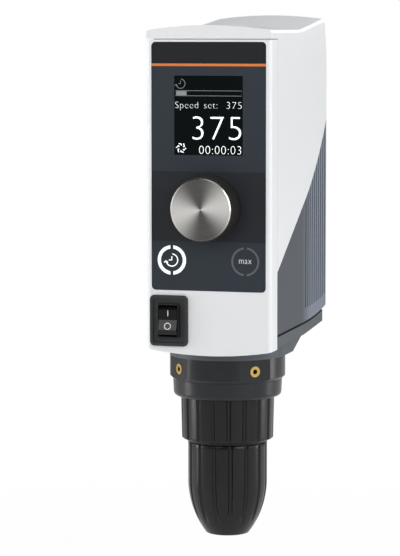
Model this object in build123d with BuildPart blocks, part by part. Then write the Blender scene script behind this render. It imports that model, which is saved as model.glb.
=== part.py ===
from build123d import *
from math import cos, radians, sin, sqrt, tan
import os

# Overhead stirrer: a drive head on a mounting arm, with a keyless chuck under it.
# All sizes are in millimetres. The spindle runs along Z through X = Y = 0, the
# mouth of the chuck is at Z = 0 and the front panel faces -Y.

os.makedirs("parts", exist_ok=True)

# Driving sizes of the drive head
head_width = 86.0
rear_taper = 3.8
head_depth = 178.0
axis_to_front = 47.5
frame_depth = 17.0
frame_bottom_z = 127.8
arch_radius = 250.0
frame_top_z = 338.2
crown_z = 347.7
crown_radius = 270.0
ramp_start_depth = 88.0
ramp_rise = 7.4
ramp_end_inset = 16.0
rear_lean_z = 235.0
rear_lean = 2.0
tail_z = 155.0
tail_lean = 2.5
shoulder_z = 312.0
shoulder_back = 15.0
housing_bottom_z = 141.2
housing_bottom_rise = 7.0
bottom_flat_depth = 100.0

# Slanting joint between the pale upper shell and the dark rear housing
slant_start_z = 183.0
slant_knee_depth = 100.0
slant_knee_z = 225.5
slant_end_z = 301.0

# Walls, seams and clearances
wall = 3.0
seam = 0.5
lip_gap = 0.15
lip_thick = 1.5
lip_reach = 4.0
fit_gap = 0.1
running_gap = 0.05
body_gap = 0.3
front_corner_r = 3.0
rear_corner_r = 9.0
shoulder_r = 26.0
roof_edge_r = 2.2
overshoot = 8.0

front_half = head_width / 2
rear_half = front_half - rear_taper
front_y = -axis_to_front
seam_y = front_y + frame_depth
rear_y = front_y + head_depth
ramp_y = front_y + ramp_start_depth
beyond_y = rear_y + overshoot
low_z = frame_bottom_z - overshoot
high_z = crown_z + ramp_rise + overshoot
housing_front_y = seam_y + seam

# Cooling ribs
rib_pitch = 6.8
rib_groove = 3.2
rib_depth = 1.3
rib_count = 10
rib_field_length = 74.0
rib_lift = 9.2
rear_rib_count = 7
rear_rib_bottom_z = 212.0

# Front panel
window_width = head_width - 7.0
window_bottom_z = 171.3
window_top_z = 336.7
window_corner_r = 3.0
panel_thick = 2.2
panel_recess = 0.2
ledge = 2.6
frame_wall = wall + lip_gap + lip_thick
frame_skin = 3.2
display_width = 47.0
display_height = 52.4
display_center_z = 288.1
display_corner_r = 0.6
module_border = 1.5
module_thick = 5.5
key_offset_x = window_width / 2 - 14.1
key_center_z = 191.6
key_ring_r = 9.9
key_ring_width = 2.3
max_ring_r = 9.6
max_ring_width = 1.3
key_ring_split = 2.0
board_thick = 1.6
touch_board_height = 29.0
control_board_y = -38.0
control_board_width = head_width - 16.0
control_board_bottom_z = 207.0
control_board_top_z = 332.0
standoff_r = 2.6
standoff_x = control_board_width / 2 - 4.0
standoff_inset_z = 5.0
chip_size = 14.0
chip_thick = 2.2

# Speed knob and its encoder
knob_center_z = 226.8
knob_reach = 19.0
knob_base_r = 22.0
knob_face_r = 21.2
knob_cap_r = 20.6
knob_cap_thick = 1.5
knob_cap_proud = 0.6
knob_lift = 1.2
knob_press = 0.8
knob_wall = 3.2
knob_hub_r = 6.0
knob_groove = 0.6
knob_groove_back = 5.2
encoder_size = 15.0
encoder_bush_r = 4.6
encoder_bush_out = 0.6
encoder_bore_r = 3.8
encoder_floor = 1.1
knob_shaft_r = 3.0

# Mains rocker switch
switch_x = 15.8 - head_width / 2
switch_z = 150.9
guard_width = 26.4
guard_height = 34.2
guard_corner_r = 3.2
guard_proud = 2.2
guard_rim = 2.2
guard_sink = 1.2
guard_edge_r = 0.8
guard_sleeve_inset = 2.0
bezel_width = 15.7
bezel_height = 23.3
bezel_corner_r = 1.6
bezel_proud = 3.4
bezel_edge_r = 0.7
rocker_width = 12.5
rocker_half_height = 9.9
rocker_slot_gap = 0.35
rocker_slot_half = 10.6
rocker_pivot_y = -45.1
rocker_tilt = 7.0
rocker_crest_z = 6.8
rocker_crest_out = 6.6
rocker_middle_out = 5.8
rocker_end_out = 4.8
rocker_back_r = 6.4
rocker_pin_r = 1.0
switch_body_depth = 16.5
switch_body_inset = 0.6
blade_offset_x = 3.8
blade_offset_z = 6.0
switch_cavity_depth = 7.2
blade_width = 4.8
blade_thick = 0.8
blade_reach = 7.0

# Mounting arm, neck, collar and ring
arm_length_depth = head_depth - 13.5
arm_end_slant = 4.0
arm_end_top_z = 143.0
arm_corner_r = 6.0
arm_gap = 1.6
arm_under_front_z = 132.3
arm_under_rear_z = 135.4
gasket_inset = 2.5
flange_inset = 11.0
neck_half = head_width / 2 - 3.5
neck_bottom_z = 123.5
neck_back_depth = 74.0
neck_ramp_depth = 99.0
hub_r = 28.0
hub_bottom_z = 101.0
collar_r = 39.5
collar_bottom_z = 107.5
collar_chamfer = 2.2
flat_angle = 45.0
flat_distance = 37.7
insert_z = 115.5
insert_outer_r = 3.65
insert_bore_r = 1.65
insert_length = 8.0
insert_proud = 0.2
ring_r = 37.4
ring_bottom_r = 36.8
ring_bottom_z = 95.6
ring_edge_r = 3.0
ring_mouth_r = 33.0
ring_mouth_top_z = 100.2
rod_boss_r = 11.5
rod_boss_z = 126.5
rod_boss_end_depth = head_depth - 17.0
rod_bush_r = 8.0
rod_thread_r = 4.25
rod_bush_length = 32.0

# Screws
screw_r = 2.0
screw_head_r = 3.5
screw_head_height = 2.6
screw_socket_r = 1.5
screw_socket_depth = 1.3
case_screw_front = (head_width / 2 - 9.1, 10.0, 130.5)
case_screw_rear = (head_width / 2 - 11.2, head_depth - 100.0, 136.4)
case_screw_top_z = 143.9
inlet_screw_length = 5.0
inlet_screw_seat = 1.3

# Spindle, bearings and drive
bore_r = 5.3
spindle_r = 10.0
spindle_shoulder_r = 13.0
spindle_bottom_z = 64.0
spindle_shoulder_z = 92.0
spindle_top_z = 256.0
lower_bearing_z = 103.0
lower_bearing_height = 14.0
lower_bearing_r = 23.5
upper_bearing_height = 12.0
upper_bearing_r = 21.0
outer_race_wall = 4.0
shield_thick = 1.0
retainer_thick = 1.6
retainer_wall = 3.0
seal_thick = 2.0
bridge_z = 216.0
bridge_thick = 6.0
bridge_front_y = -20.0
bridge_rear_y = 101.0
bridge_half = 31.0
bridge_corner_r = 8.0
bearing_lip = 3.0
cup_wall = 3.5
post_r = 5.0
post_front = (26.0, -14.0)
post_rear = (22.0, 95.0)
post_foot_z = 137.0
post_screw_depth = 10.0
spacer_r = 13.0
race_inner_r = 14.0
motor_y = 66.0
motor_r = 29.0
motor_bottom_z = 152.0
motor_wall = 2.0
motor_end = 3.0
motor_shaft_r = 4.0
stator_inner_r = 17.0
rotor_gap = 0.4
stator_margin = 10.0
stator_slots = 9
stator_slot_width = 3.0
stator_slot_depth = 6.0
motor_bearing_r = 11.0
motor_bearing_height = 7.0
motor_screw_r = 20.0
motor_screw_count = 4
pulley_bottom_z = 233.5
pulley_height = 17.0
pulley_flange = 2.5
pulley_flange_thick = 2.4
spindle_pulley_r = 25.0
motor_pulley_r = 12.5
belt_thick = 2.0
belt_slack = 0.3
pulley_v_count = 5
pulley_v_depth = 1.2
nut_flats = 26.0
guide_bore_r = 6.0
guide_wall = 2.0
guide_flange_r = 14.0
guide_flange_thick = 2.5
plug_head_r = 12.0
plug_head_thick = 1.9
plug_spigot_length = 9.0

# Mains inlet and power supply
inlet_z = 176.0
inlet_flange_width = 50.0
inlet_flange_height = 40.0
inlet_flange_thick = 2.5
inlet_corner_r = 4.0
inlet_body_width = 28.0
inlet_body_height = 36.0
inlet_body_depth = 24.0
socket_width = 24.0
socket_height = 16.6
socket_rise = 6.5
socket_depth = 17.0
socket_corner_r = 2.5
pin_spacing = 7.0
pin_thick = 2.0
pin_height = 4.0
pin_recess = 5.0
pin_tail = 6.0
earth_rise = 2.0
drawer_width = 22.0
drawer_height = 9.0
drawer_drop = 12.0
drawer_depth = 18.0
drawer_front = 1.4
drawer_lip = 1.0
drawer_pocket_depth = 6.4
inlet_screw_x = 20.0
power_board_y = head_depth - axis_to_front - 12.5
power_board_half = 28.0
power_board_bottom_z = 216.0
power_board_top_z = 282.0
transformer_size = (30.0, 22.0, 28.0)
capacitor_r = 7.5
capacitor_length = 24.0

# Keyless chuck
jaw_angle = 15.0
jaw_pin_r = 3.5
jaw_start_r = 6.2
jaw_grip_r = 5.25
jaw_closed_r = 1.75
jaw_wedge_gap = 0.3
jaw_top_z = 46.0
jaw_count = 3
jaw_phase = -90.0
chuck_bore_r = 5.6
chuck_nose_r = 11.0
chuck_waist_r = 15.5
chuck_waist_z = 20.0
chuck_shoulder_z = 35.0
chuck_flange_r = 24.5
chuck_step_z = 68.0
chuck_seat_r = 28.0
nut_bottom_z = 27.0
nut_top_z = 33.5
nut_outer_r = 23.5
nut_split = 0.5
sleeve_r = 27.1
sleeve_straight_z = 37.0
sleeve_nose_r = 14.7
sleeve_mouth_r = 11.4
sleeve_top_z = 63.6
sleeve_flutes = 15
sleeve_flute_end_z = 9.0
sleeve_fade_r = 21.6
flute_width = 2.4
flute_depth = 1.2
flute_start = -73.0
flute_turn = 3.0
rear_sleeve_top_r = 32.0
rear_sleeve_bottom_r = 31.3
rear_sleeve_bottom_z = 66.2
rear_sleeve_lip_z = 64.2
rear_sleeve_lip_r = 27.6
rear_sleeve_top_z = 98.5
rear_sleeve_flutes = 18

jaw_slope = tan(radians(jaw_angle))
panel_front_y = front_y + panel_recess
panel_back_y = panel_front_y + panel_thick
bridge_top_z = bridge_z + bridge_thick
upper_bearing_z = bridge_z + bearing_lip


def half_width(y):
    """Half width of the drive head at a distance y behind the spindle axis."""
    share = (y - seam_y) / (rear_y - seam_y)
    return front_half + (rear_half - front_half) * min(max(share, 0.0), 1.0)


def plan_outline(inset, back_y, corner_r):
    """Sketch of the head's outline seen from above, moved inwards by inset."""
    back_half = half_width(back_y) - inset
    side_half = front_half - inset
    back = back_y - inset
    front = front_y + inset
    with BuildSketch() as outline:
        with BuildLine():
            Polyline(
                (-side_half, front), (side_half, front), (side_half, seam_y), (back_half, back),
                (-back_half, back), (-side_half, seam_y), close=True,
            )
        make_face()
        fillet(outline.vertices().group_by(Axis.Y)[-1], max(corner_r - inset, 1.0))
    return outline.sketch


def head_form(inset, edge_r=0.0):
    """Whole form of the drive head, with every face moved inwards by inset."""
    shoulder_slope = shoulder_back / (crown_z + ramp_rise - shoulder_z)
    top_y = rear_y - rear_lean - inset - shoulder_slope * (high_z - shoulder_z)
    tail_y = rear_y - inset - tail_lean * (tail_z - low_z) / (tail_z - housing_bottom_z)
    with BuildPart() as form:
        with BuildSketch(Plane.XY.offset(low_z)):
            add(plan_outline(inset, rear_y, rear_corner_r))
        extrude(amount=high_z - low_z)
        with BuildSketch(Plane.YZ) as side:
            with BuildLine():
                Polyline(
                    (front_y - overshoot, low_z), (tail_y, low_z), (rear_y - inset, tail_z),
                    (rear_y - inset, rear_lean_z),
                    (rear_y - rear_lean - inset, shoulder_z), (top_y, high_z),
                    (front_y - overshoot, high_z), close=True,
                )
            make_face()
            shoulder = side.vertices().sort_by_distance((0, rear_y, shoulder_z))[0]
            fillet(shoulder, shoulder_r)
        extrude(amount=head_width, both=True, mode=Mode.INTERSECT)
        ramp_slope = ramp_rise / (head_depth - ramp_end_inset - ramp_start_depth)
        stations = (
            (front_y - overshoot, crown_z),
            (ramp_y, crown_z),
            (beyond_y, crown_z + ramp_slope * (beyond_y - ramp_y)),
        )
        drop = head_width**2 / (2 * crown_radius)
        for y, top in stations:
            with BuildSketch(Plane.XZ.offset(-y)):
                with BuildLine():
                    ThreePointArc(
                        (-head_width, top - inset - drop), (0, top - inset), (head_width, top - inset - drop)
                    )
                    Polyline(
                        (head_width, top - inset - drop), (head_width, low_z - overshoot),
                        (-head_width, low_z - overshoot), (-head_width, top - inset - drop),
                    )
                make_face()
        loft(ruled=True, mode=Mode.INTERSECT)
        if edge_r:
            roof = form.faces().filter_by(lambda f: f.normal_at().Z > 0.9)
            rim = roof.edges().filter_by(lambda e: abs(e.center().X) > rear_half / 2)
            fillet(rim, edge_r)
    return form.part


def slant_line(shift):
    """Edges of the slanting joint in the YZ plane, moved up by shift."""
    knee = (front_y + slant_knee_depth, slant_knee_z + shift)
    start = (seam_y, slant_start_z + shift)
    line = Line(start, knee)
    arc = TangentArc(knee, (beyond_y, slant_end_z + shift), tangent=line % 1)
    return start, arc @ 1


def bottom_line(shift):
    """Edges of the head's underside in the YZ plane, moved up by shift."""
    start = (seam_y, housing_bottom_z + shift)
    knee = (front_y + bottom_flat_depth, housing_bottom_z + shift)
    line = Line(start, knee)
    arc = TangentArc(knee, (beyond_y, housing_bottom_z + housing_bottom_rise + shift), tangent=line % 1)
    return start, arc @ 1


def band_between(lower, lower_shift, upper, upper_shift):
    """Solid across the head between two such lines, seen from the side."""
    with BuildPart() as band:
        with BuildSketch(Plane.YZ):
            with BuildLine():
                low_start, low_end = lower(lower_shift)
                high_start, high_end = upper(upper_shift)
                Line(low_start, high_start)
                Line(low_end, high_end)
            make_face()
        extrude(amount=head_width, both=True)
    return band.part


outer_form = head_form(0.0, roof_edge_r)
inner_form = head_form(wall)
lip_outer_form = head_form(wall + lip_gap)
lip_inner_form = head_form(wall + lip_gap + lip_thick)

# Front frame
frame_bottom_drop = front_half**2 / (2 * arch_radius)
frame_side_bottom_z = frame_bottom_z + frame_bottom_drop
cavity_half = front_half - frame_wall
cavity_bottom_z = frame_side_bottom_z + frame_skin
with BuildPart() as front_frame:
    with BuildSketch(Plane.XZ.offset(-front_y)):
        with BuildLine():
            ThreePointArc(
                (-front_half, frame_side_bottom_z), (0, frame_bottom_z), (front_half, frame_side_bottom_z)
            )
            Polyline(
                (front_half, frame_side_bottom_z), (front_half, frame_top_z),
                (-front_half, frame_top_z), (-front_half, frame_side_bottom_z),
            )
        make_face()
    extrude(amount=-frame_depth)
    front_edges = front_frame.edges().group_by(Axis.Y)[0].filter_by(Axis.Z)
    fillet(front_edges, front_corner_r)
    panel_height = window_top_z - window_bottom_z
    panel_center_z = (window_top_z + window_bottom_z) / 2
    with BuildSketch(Plane.XZ.offset(-front_y)):
        with Locations((0, panel_center_z)):
            RectangleRounded(window_width, panel_height, window_corner_r)
    extrude(amount=-(panel_recess + panel_thick), mode=Mode.SUBTRACT)
    with BuildSketch(Plane.XZ.offset(-front_y)):
        with Locations((0, panel_center_z)):
            Rectangle(window_width - 2 * ledge, panel_height - 2 * ledge)
    extrude(amount=-frame_depth, mode=Mode.SUBTRACT)
    with BuildSketch(Plane.XZ.offset(-(front_y + frame_skin))):
        with Locations((0, cavity_bottom_z)):
            Rectangle(2 * cavity_half, window_bottom_z - cavity_bottom_z, align=(Align.CENTER, Align.MIN))
    extrude(amount=-frame_depth, mode=Mode.SUBTRACT)
    cavity_top_z = frame_top_z - frame_wall
    with BuildSketch(Plane.XZ.offset(-(front_y + 2 * frame_skin))):
        with Locations((0, cavity_bottom_z)):
            Rectangle(2 * cavity_half, cavity_top_z - cavity_bottom_z, align=(Align.CENTER, Align.MIN))
    extrude(amount=-frame_depth, mode=Mode.SUBTRACT)
    with BuildSketch(Plane.XZ.offset(-front_y)):
        with Locations((switch_x, switch_z)):
            Rectangle(guard_width - 2 * guard_sleeve_inset, guard_height - 2 * guard_sleeve_inset)
    extrude(amount=-2 * frame_skin, mode=Mode.SUBTRACT)
    lip_half = cavity_half + lip_thick
    lip_bottom_z = housing_bottom_z + wall + seam
    lip_top_z = frame_top_z - wall - lip_gap
    with BuildSketch(Plane.XZ.offset(-(seam_y - seam))) as lip_section:
        with Locations((0, lip_bottom_z)):
            Rectangle(2 * lip_half, lip_top_z - lip_bottom_z, align=(Align.CENTER, Align.MIN))
            Rectangle(
                2 * cavity_half, cavity_top_z - lip_bottom_z, align=(Align.CENTER, Align.MIN),
                mode=Mode.SUBTRACT,
            )
    extrude(amount=-(seam + lip_reach))
    with BuildSketch(Plane.XY.offset(frame_top_z - lip_reach)):
        with Locations((0, front_y + wall + lip_gap)):
            Rectangle(2 * cavity_half, lip_thick, align=(Align.CENTER, Align.MIN))
    extrude(amount=lip_reach + seam + lip_reach / 2)

# Space that the front frame takes, with its seam all round
with BuildPart() as frame_zone:
    with BuildSketch(Plane.YZ):
        with Locations((front_y - overshoot, low_z)):
            Rectangle(
                housing_front_y - front_y + overshoot, frame_top_z + seam - low_z,
                align=(Align.MIN, Align.MIN),
            )
    extrude(amount=head_width, both=True)

# Upper shell, open below along the slant, with the hole for the shaft guide
guide_outer_r = guide_bore_r + guide_wall
roof_z = crown_z - wall
plug_seat_z = crown_z - plug_head_thick - fit_gap
with BuildPart() as upper_shell:
    add(outer_form)
    with BuildSketch(Plane.YZ):
        with BuildLine():
            slant_start, slant_end = slant_line(seam / 2)
            Polyline(
                slant_start, (front_y - overshoot, slant_start_z), (front_y - overshoot, high_z),
                (slant_end.X, high_z), slant_end,
            )
        make_face()
    extrude(amount=head_width, both=True, mode=Mode.INTERSECT)
    add(inner_form, mode=Mode.SUBTRACT)
    add(frame_zone.part, mode=Mode.SUBTRACT)
    with BuildSketch(Plane.XY.offset(roof_z - overshoot)):
        Circle(guide_outer_r + fit_gap)
    extrude(amount=overshoot + 2 * wall, mode=Mode.SUBTRACT)
    with BuildSketch(Plane.XY.offset(plug_seat_z)):
        Circle(plug_head_r + fit_gap)
    extrude(amount=overshoot, mode=Mode.SUBTRACT)

# Places of the screws that hold the housing to the arm, and of the bridge posts
case_screw_places = [
    (side * x, y, seat) for x, y, seat in (case_screw_front, case_screw_rear) for side in (-1, 1)
]
post_places = [(side * x, y) for x, y in (post_front, post_rear) for side in (-1, 1)]
inlet_screw_places = [(side * inlet_screw_x, inlet_z) for side in (-1, 1)]

# Room inside the walls for the rear lip of the front frame
with BuildPart() as frame_lip_zone:
    add(inner_form)
    with BuildSketch(Plane.YZ):
        with Locations((front_y, housing_bottom_z + wall)):
            Rectangle(
                frame_depth + lip_reach + seam, frame_top_z - housing_bottom_z, align=(Align.MIN, Align.MIN)
            )
    extrude(amount=head_width, both=True, mode=Mode.INTERSECT)

# Ribbed rear housing with its floor flange and its lip inside the upper shell
rib_start_y = rear_y - rib_field_length
with BuildPart() as housing_hollow:
    add(lip_inner_form)
    add(band_between(bottom_line, wall, slant_line, 2 * overshoot), mode=Mode.INTERSECT)
with BuildPart() as housing_lip:
    add(lip_outer_form)
    add(lip_inner_form, mode=Mode.SUBTRACT)
    add(band_between(slant_line, -lip_reach, slant_line, lip_reach), mode=Mode.INTERSECT)
with BuildPart() as rib_grooves:
    with BuildSketch(Plane.XY.offset(low_z)):
        for index in range(rib_count):
            y = rib_start_y + index * rib_pitch
            for side in (-1, 1):
                with Locations((side * (half_width(y) - rib_depth + rib_groove), y)):
                    Rectangle(2 * rib_groove, rib_groove)
    extrude(amount=high_z - low_z)
    add(band_between(bottom_line, rib_lift, slant_line, seam), mode=Mode.INTERSECT)
with BuildPart() as rear_housing:
    add(outer_form)
    add(band_between(bottom_line, 0.0, slant_line, -seam / 2), mode=Mode.INTERSECT)
    add(housing_hollow.part, mode=Mode.SUBTRACT)
    add(housing_lip.part)
    add(frame_zone.part, mode=Mode.SUBTRACT)
    add(frame_lip_zone.part, mode=Mode.SUBTRACT)
    with BuildSketch(Plane.XY.offset(low_z)):
        add(plan_outline(flange_inset, rear_y, rear_corner_r))
    extrude(amount=housing_bottom_z + wall + housing_bottom_rise - low_z, mode=Mode.SUBTRACT)
    add(rib_grooves.part, mode=Mode.SUBTRACT)
    for index in range(rear_rib_count):
        x = (index - (rear_rib_count - 1) / 2) * rib_pitch
        with BuildSketch(Plane.YZ.offset(x - rib_groove / 2)):
            with BuildLine():
                Polyline(
                    (rear_y - rib_depth, rear_rib_bottom_z), (beyond_y, rear_rib_bottom_z),
                    (beyond_y, shoulder_z), (rear_y - rear_lean - rib_depth, shoulder_z),
                    (rear_y - rib_depth, rear_lean_z), close=True,
                )
            make_face()
        extrude(amount=rib_groove, mode=Mode.SUBTRACT)
    with BuildSketch(Plane.XZ.offset(-(rear_y - frame_wall - fit_gap))):
        with Locations((0, inlet_z)):
            Rectangle(inlet_body_width + 2 * fit_gap, inlet_body_height + 2 * fit_gap)
    extrude(amount=-(frame_wall + overshoot), mode=Mode.SUBTRACT)
    with BuildSketch(Plane.XY.offset(low_z)):
        with Locations(*[place[:2] for place in case_screw_places]):
            Circle(screw_r)
    extrude(amount=case_screw_top_z + seam - low_z, mode=Mode.SUBTRACT)
    with BuildSketch(Plane.XZ.offset(-(rear_y + inlet_screw_seat - inlet_screw_length))):
        with Locations(*inlet_screw_places):
            Circle(screw_r)
    extrude(amount=-inlet_screw_length, mode=Mode.SUBTRACT)


def turned(points):
    """Solid turned about the spindle axis from points of radius and height."""
    with BuildPart() as body:
        with BuildSketch(Plane.XZ):
            with BuildLine():
                Polyline(*points, close=True)
            make_face()
        revolve(axis=Axis.Z)
    return body.part


def tube(outer_r, inner_r, low, high):
    """Tube about the spindle axis between two heights."""
    with BuildPart() as body:
        with BuildSketch(Plane.XY.offset(low)):
            Circle(outer_r)
            Circle(inner_r, mode=Mode.SUBTRACT)
        extrude(amount=high - low)
    return body.part


def slab(width, height, center, front, back, corner_r=0.0):
    """Upright plate facing the front, between two depths, about a centre (x, z)."""
    with BuildPart() as body:
        with BuildSketch(Plane.XZ.offset(-front)):
            with Locations(center):
                if corner_r:
                    RectangleRounded(width, height, corner_r)
                else:
                    Rectangle(width, height)
        extrude(amount=-(back - front))
    return body.part


def bar(radius, center, front, back):
    """Round bar along Y between two depths, about a centre (x, z)."""
    with BuildPart() as body:
        with BuildSketch(Plane.XZ.offset(-front)):
            with Locations(center):
                Circle(radius)
        extrude(amount=-(back - front))
    return body.part


def cap_screw(length):
    """Socket head screw whose head sits under the XY plane and whose shank rises."""
    with BuildPart() as screw:
        Cylinder(screw_r, length, align=(Align.CENTER, Align.CENTER, Align.MIN))
        Cylinder(screw_head_r, screw_head_height, align=(Align.CENTER, Align.CENTER, Align.MAX))
        with BuildSketch(Plane.XY.offset(-screw_head_height)):
            RegularPolygon(screw_socket_r, 6)
        extrude(amount=screw_socket_depth, mode=Mode.SUBTRACT)
    return screw.part


# Gasket in the gap between the rear housing and the arm
arm_rear_y = front_y + arm_length_depth
with BuildPart() as housing_gasket:
    with BuildSketch(Plane.XY.offset(low_z)):
        add(plan_outline(gasket_inset, arm_rear_y, arm_corner_r))
        add(plan_outline(flange_inset, arm_rear_y, arm_corner_r), mode=Mode.SUBTRACT)
        with Locations(*[place[:2] for place in case_screw_places]):
            Circle(screw_r + fit_gap, mode=Mode.SUBTRACT)
    extrude(amount=frame_top_z - low_z)
    add(band_between(bottom_line, -arm_gap, bottom_line, 0.0), mode=Mode.INTERSECT)
    add(frame_zone.part, mode=Mode.SUBTRACT)

# Mounting arm: plate, neck, bearing hub and rod boss in one casting
neck_back_y = front_y + neck_back_depth
neck_ramp_y = front_y + neck_ramp_depth
arm_end_low_y = arm_rear_y - arm_end_slant
rod_boss_end_y = front_y + rod_boss_end_depth
bearing_top_z = lower_bearing_z + lower_bearing_height
with BuildPart() as arm_plate:
    with BuildSketch(Plane.XY.offset(low_z)):
        add(plan_outline(0.0, arm_rear_y, arm_corner_r))
    extrude(amount=frame_top_z - low_z)
    with BuildSketch(Plane.YZ):
        with BuildLine():
            top_start, top_end = bottom_line(-arm_gap)
            Polyline(
                top_start, (seam_y, arm_under_front_z), (neck_ramp_y, arm_under_front_z),
                (arm_end_low_y, arm_under_rear_z), (arm_rear_y, arm_end_top_z), top_end,
            )
        make_face()
    extrude(amount=head_width, both=True, mode=Mode.INTERSECT)
with BuildPart() as arm_neck:
    with BuildSketch(Plane.XY.offset(neck_bottom_z)):
        Circle(neck_half)
        Rectangle(2 * neck_half, neck_ramp_y, align=(Align.CENTER, Align.MIN))
    extrude(amount=housing_bottom_z - arm_gap - neck_bottom_z)
    with BuildSketch(Plane.YZ):
        with BuildLine():
            Polyline(
                (front_y, neck_bottom_z), (neck_back_y, neck_bottom_z), (neck_ramp_y, arm_under_front_z),
                (neck_ramp_y, frame_top_z), (front_y, frame_top_z), close=True,
            )
        make_face()
    extrude(amount=head_width, both=True, mode=Mode.INTERSECT)
with BuildPart() as frame_shadow:
    with BuildSketch(Plane.XZ.offset(-(front_y - overshoot))):
        with BuildLine():
            ThreePointArc(
                (-front_half, frame_side_bottom_z - seam), (0, frame_bottom_z - seam),
                (front_half, frame_side_bottom_z - seam),
            )
            Polyline(
                (front_half, frame_side_bottom_z - seam), (head_width, frame_side_bottom_z - seam),
                (head_width, frame_top_z), (-head_width, frame_top_z),
                (-head_width, frame_side_bottom_z - seam), (-front_half, frame_side_bottom_z - seam),
            )
        make_face()
    extrude(amount=-(housing_front_y - front_y + overshoot))
with BuildPart() as arm_casting:
    add(arm_plate.part)
    add(arm_neck.part)
    add(tube(hub_r, spindle_r, hub_bottom_z, arm_under_front_z))
    add(bar(rod_boss_r, (0, rod_boss_z), collar_r + seam, rod_boss_end_y))
    add(frame_shadow.part, mode=Mode.SUBTRACT)
    with BuildSketch(Plane.XY.offset(hub_bottom_z)):
        Circle(lower_bearing_r)
    extrude(amount=bearing_top_z - hub_bottom_z, mode=Mode.SUBTRACT)
    with BuildSketch(Plane.XY.offset(hub_bottom_z)):
        Circle(lower_bearing_r - outer_race_wall)
    extrude(amount=frame_top_z - hub_bottom_z, mode=Mode.SUBTRACT)
    add(
        bar(rod_bush_r, (0, rod_boss_z), rod_boss_end_y - rod_bush_length, rod_boss_end_y + overshoot),
        mode=Mode.SUBTRACT,
    )
    with BuildSketch(Plane.XY.offset(post_foot_z)):
        with Locations(*post_places):
            Circle(post_r)
    extrude(amount=frame_top_z - post_foot_z, mode=Mode.SUBTRACT)
    for x, y, seat_z in case_screw_places:
        with BuildSketch(Plane.XY.offset(low_z)):
            with Locations((x, y)):
                Circle(screw_head_r + fit_gap)
        extrude(amount=seat_z - low_z, mode=Mode.SUBTRACT)
        with BuildSketch(Plane.XY.offset(low_z)):
            with Locations((x, y)):
                Circle(screw_r + fit_gap)
        extrude(amount=frame_top_z - low_z, mode=Mode.SUBTRACT)

# Collar with two flats and a threaded insert in each
flat_signs = (-1, 1)
with BuildPart() as insert_collar:
    add(turned((
        (hub_r, collar_bottom_z), (collar_r - collar_chamfer, collar_bottom_z),
        (collar_r, collar_bottom_z + collar_chamfer), (collar_r, neck_bottom_z), (hub_r, neck_bottom_z),
    )))
    for sign in flat_signs:
        turn = radians(sign * flat_angle)
        outward = (sin(turn), -cos(turn), 0)
        face = Plane(
            origin=(flat_distance * outward[0], flat_distance * outward[1], insert_z), z_dir=outward
        )
        with BuildSketch(face):
            Rectangle(2 * collar_r, 2 * collar_r)
        extrude(amount=collar_r, mode=Mode.SUBTRACT)
        with BuildSketch(face):
            Circle(insert_outer_r)
        extrude(amount=insert_proud - insert_length, mode=Mode.SUBTRACT)
with BuildPart() as threaded_inserts:
    for sign in flat_signs:
        turn = radians(sign * flat_angle)
        outward = (sin(turn), -cos(turn), 0)
        reach = flat_distance + insert_proud
        with BuildSketch(Plane(origin=(reach * outward[0], reach * outward[1], insert_z), z_dir=outward)):
            Circle(insert_outer_r)
            Circle(insert_bore_r, mode=Mode.SUBTRACT)
        extrude(amount=-insert_length)

# Plain ring under the collar, threaded bush for the support rod
with BuildPart() as lower_ring:
    add(turned((
        (hub_r, collar_bottom_z), (ring_r, collar_bottom_z), (ring_bottom_r, ring_bottom_z),
        (ring_mouth_r, ring_bottom_z), (ring_mouth_r, ring_mouth_top_z), (hub_r, ring_mouth_top_z),
    )))
    ring_edge = lower_ring.edges().filter_by(GeomType.CIRCLE).group_by(Axis.Z)[0].sort_by(SortBy.RADIUS)[-1]
    fillet(ring_edge, ring_edge_r)
with BuildPart() as rod_bush:
    add(bar(rod_bush_r, (0, rod_boss_z), rod_boss_end_y - rod_bush_length, rod_boss_end_y))
    add(bar(rod_thread_r, (0, rod_boss_z), front_y, rear_y), mode=Mode.SUBTRACT)

# Screws of the housing and of the inlet
with BuildPart() as case_screws:
    for x, y, seat_z in case_screw_places:
        with Locations((x, y, seat_z)):
            add(cap_screw(case_screw_top_z - seat_z))
    for x, z in inlet_screw_places:
        with Locations(Plane(origin=(x, rear_y + inlet_screw_seat, z), z_dir=(0, -1, 0))):
            add(cap_screw(inlet_screw_length))

# Control panel with its glass, rings and boards
clear_width = display_width + 2 * fit_gap
clear_height = display_height + 2 * fit_gap


def key_ring(center, outer_r, width):
    """Two half rings through the panel about a centre (x, z), parted at the top and at the bottom."""
    with BuildPart() as ring:
        with BuildSketch(Plane.XZ.offset(-panel_front_y)):
            with Locations(center):
                Circle(outer_r)
                Circle(outer_r - width, mode=Mode.SUBTRACT)
                Rectangle(key_ring_split, 2 * outer_r + fit_gap, mode=Mode.SUBTRACT)
        extrude(amount=-panel_thick)
    return ring.part


timer_ring_form = key_ring((-key_offset_x, key_center_z), key_ring_r, key_ring_width)
max_ring_form = key_ring((key_offset_x, key_center_z), max_ring_r, max_ring_width)
with BuildPart() as control_panel:
    add(slab(
        window_width - 2 * fit_gap, panel_height - 2 * fit_gap, (0, panel_center_z),
        panel_front_y, panel_back_y, window_corner_r - fit_gap,
    ))
    add(
        slab(clear_width, clear_height, (0, display_center_z), front_y, seam_y, display_corner_r),
        mode=Mode.SUBTRACT,
    )
    add(bar(encoder_bush_r + fit_gap, (0, knob_center_z), front_y, seam_y), mode=Mode.SUBTRACT)
    add(timer_ring_form, mode=Mode.SUBTRACT)
    add(max_ring_form, mode=Mode.SUBTRACT)
with BuildPart() as display_window:
    add(slab(
        display_width, display_height, (0, display_center_z), panel_front_y, panel_back_y, display_corner_r
    ))
with BuildPart() as timer_key_ring:
    add(timer_ring_form)
with BuildPart() as max_key_ring:
    add(max_ring_form)
module_width = display_width + 2 * module_border
module_height = display_height + 2 * module_border
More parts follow.
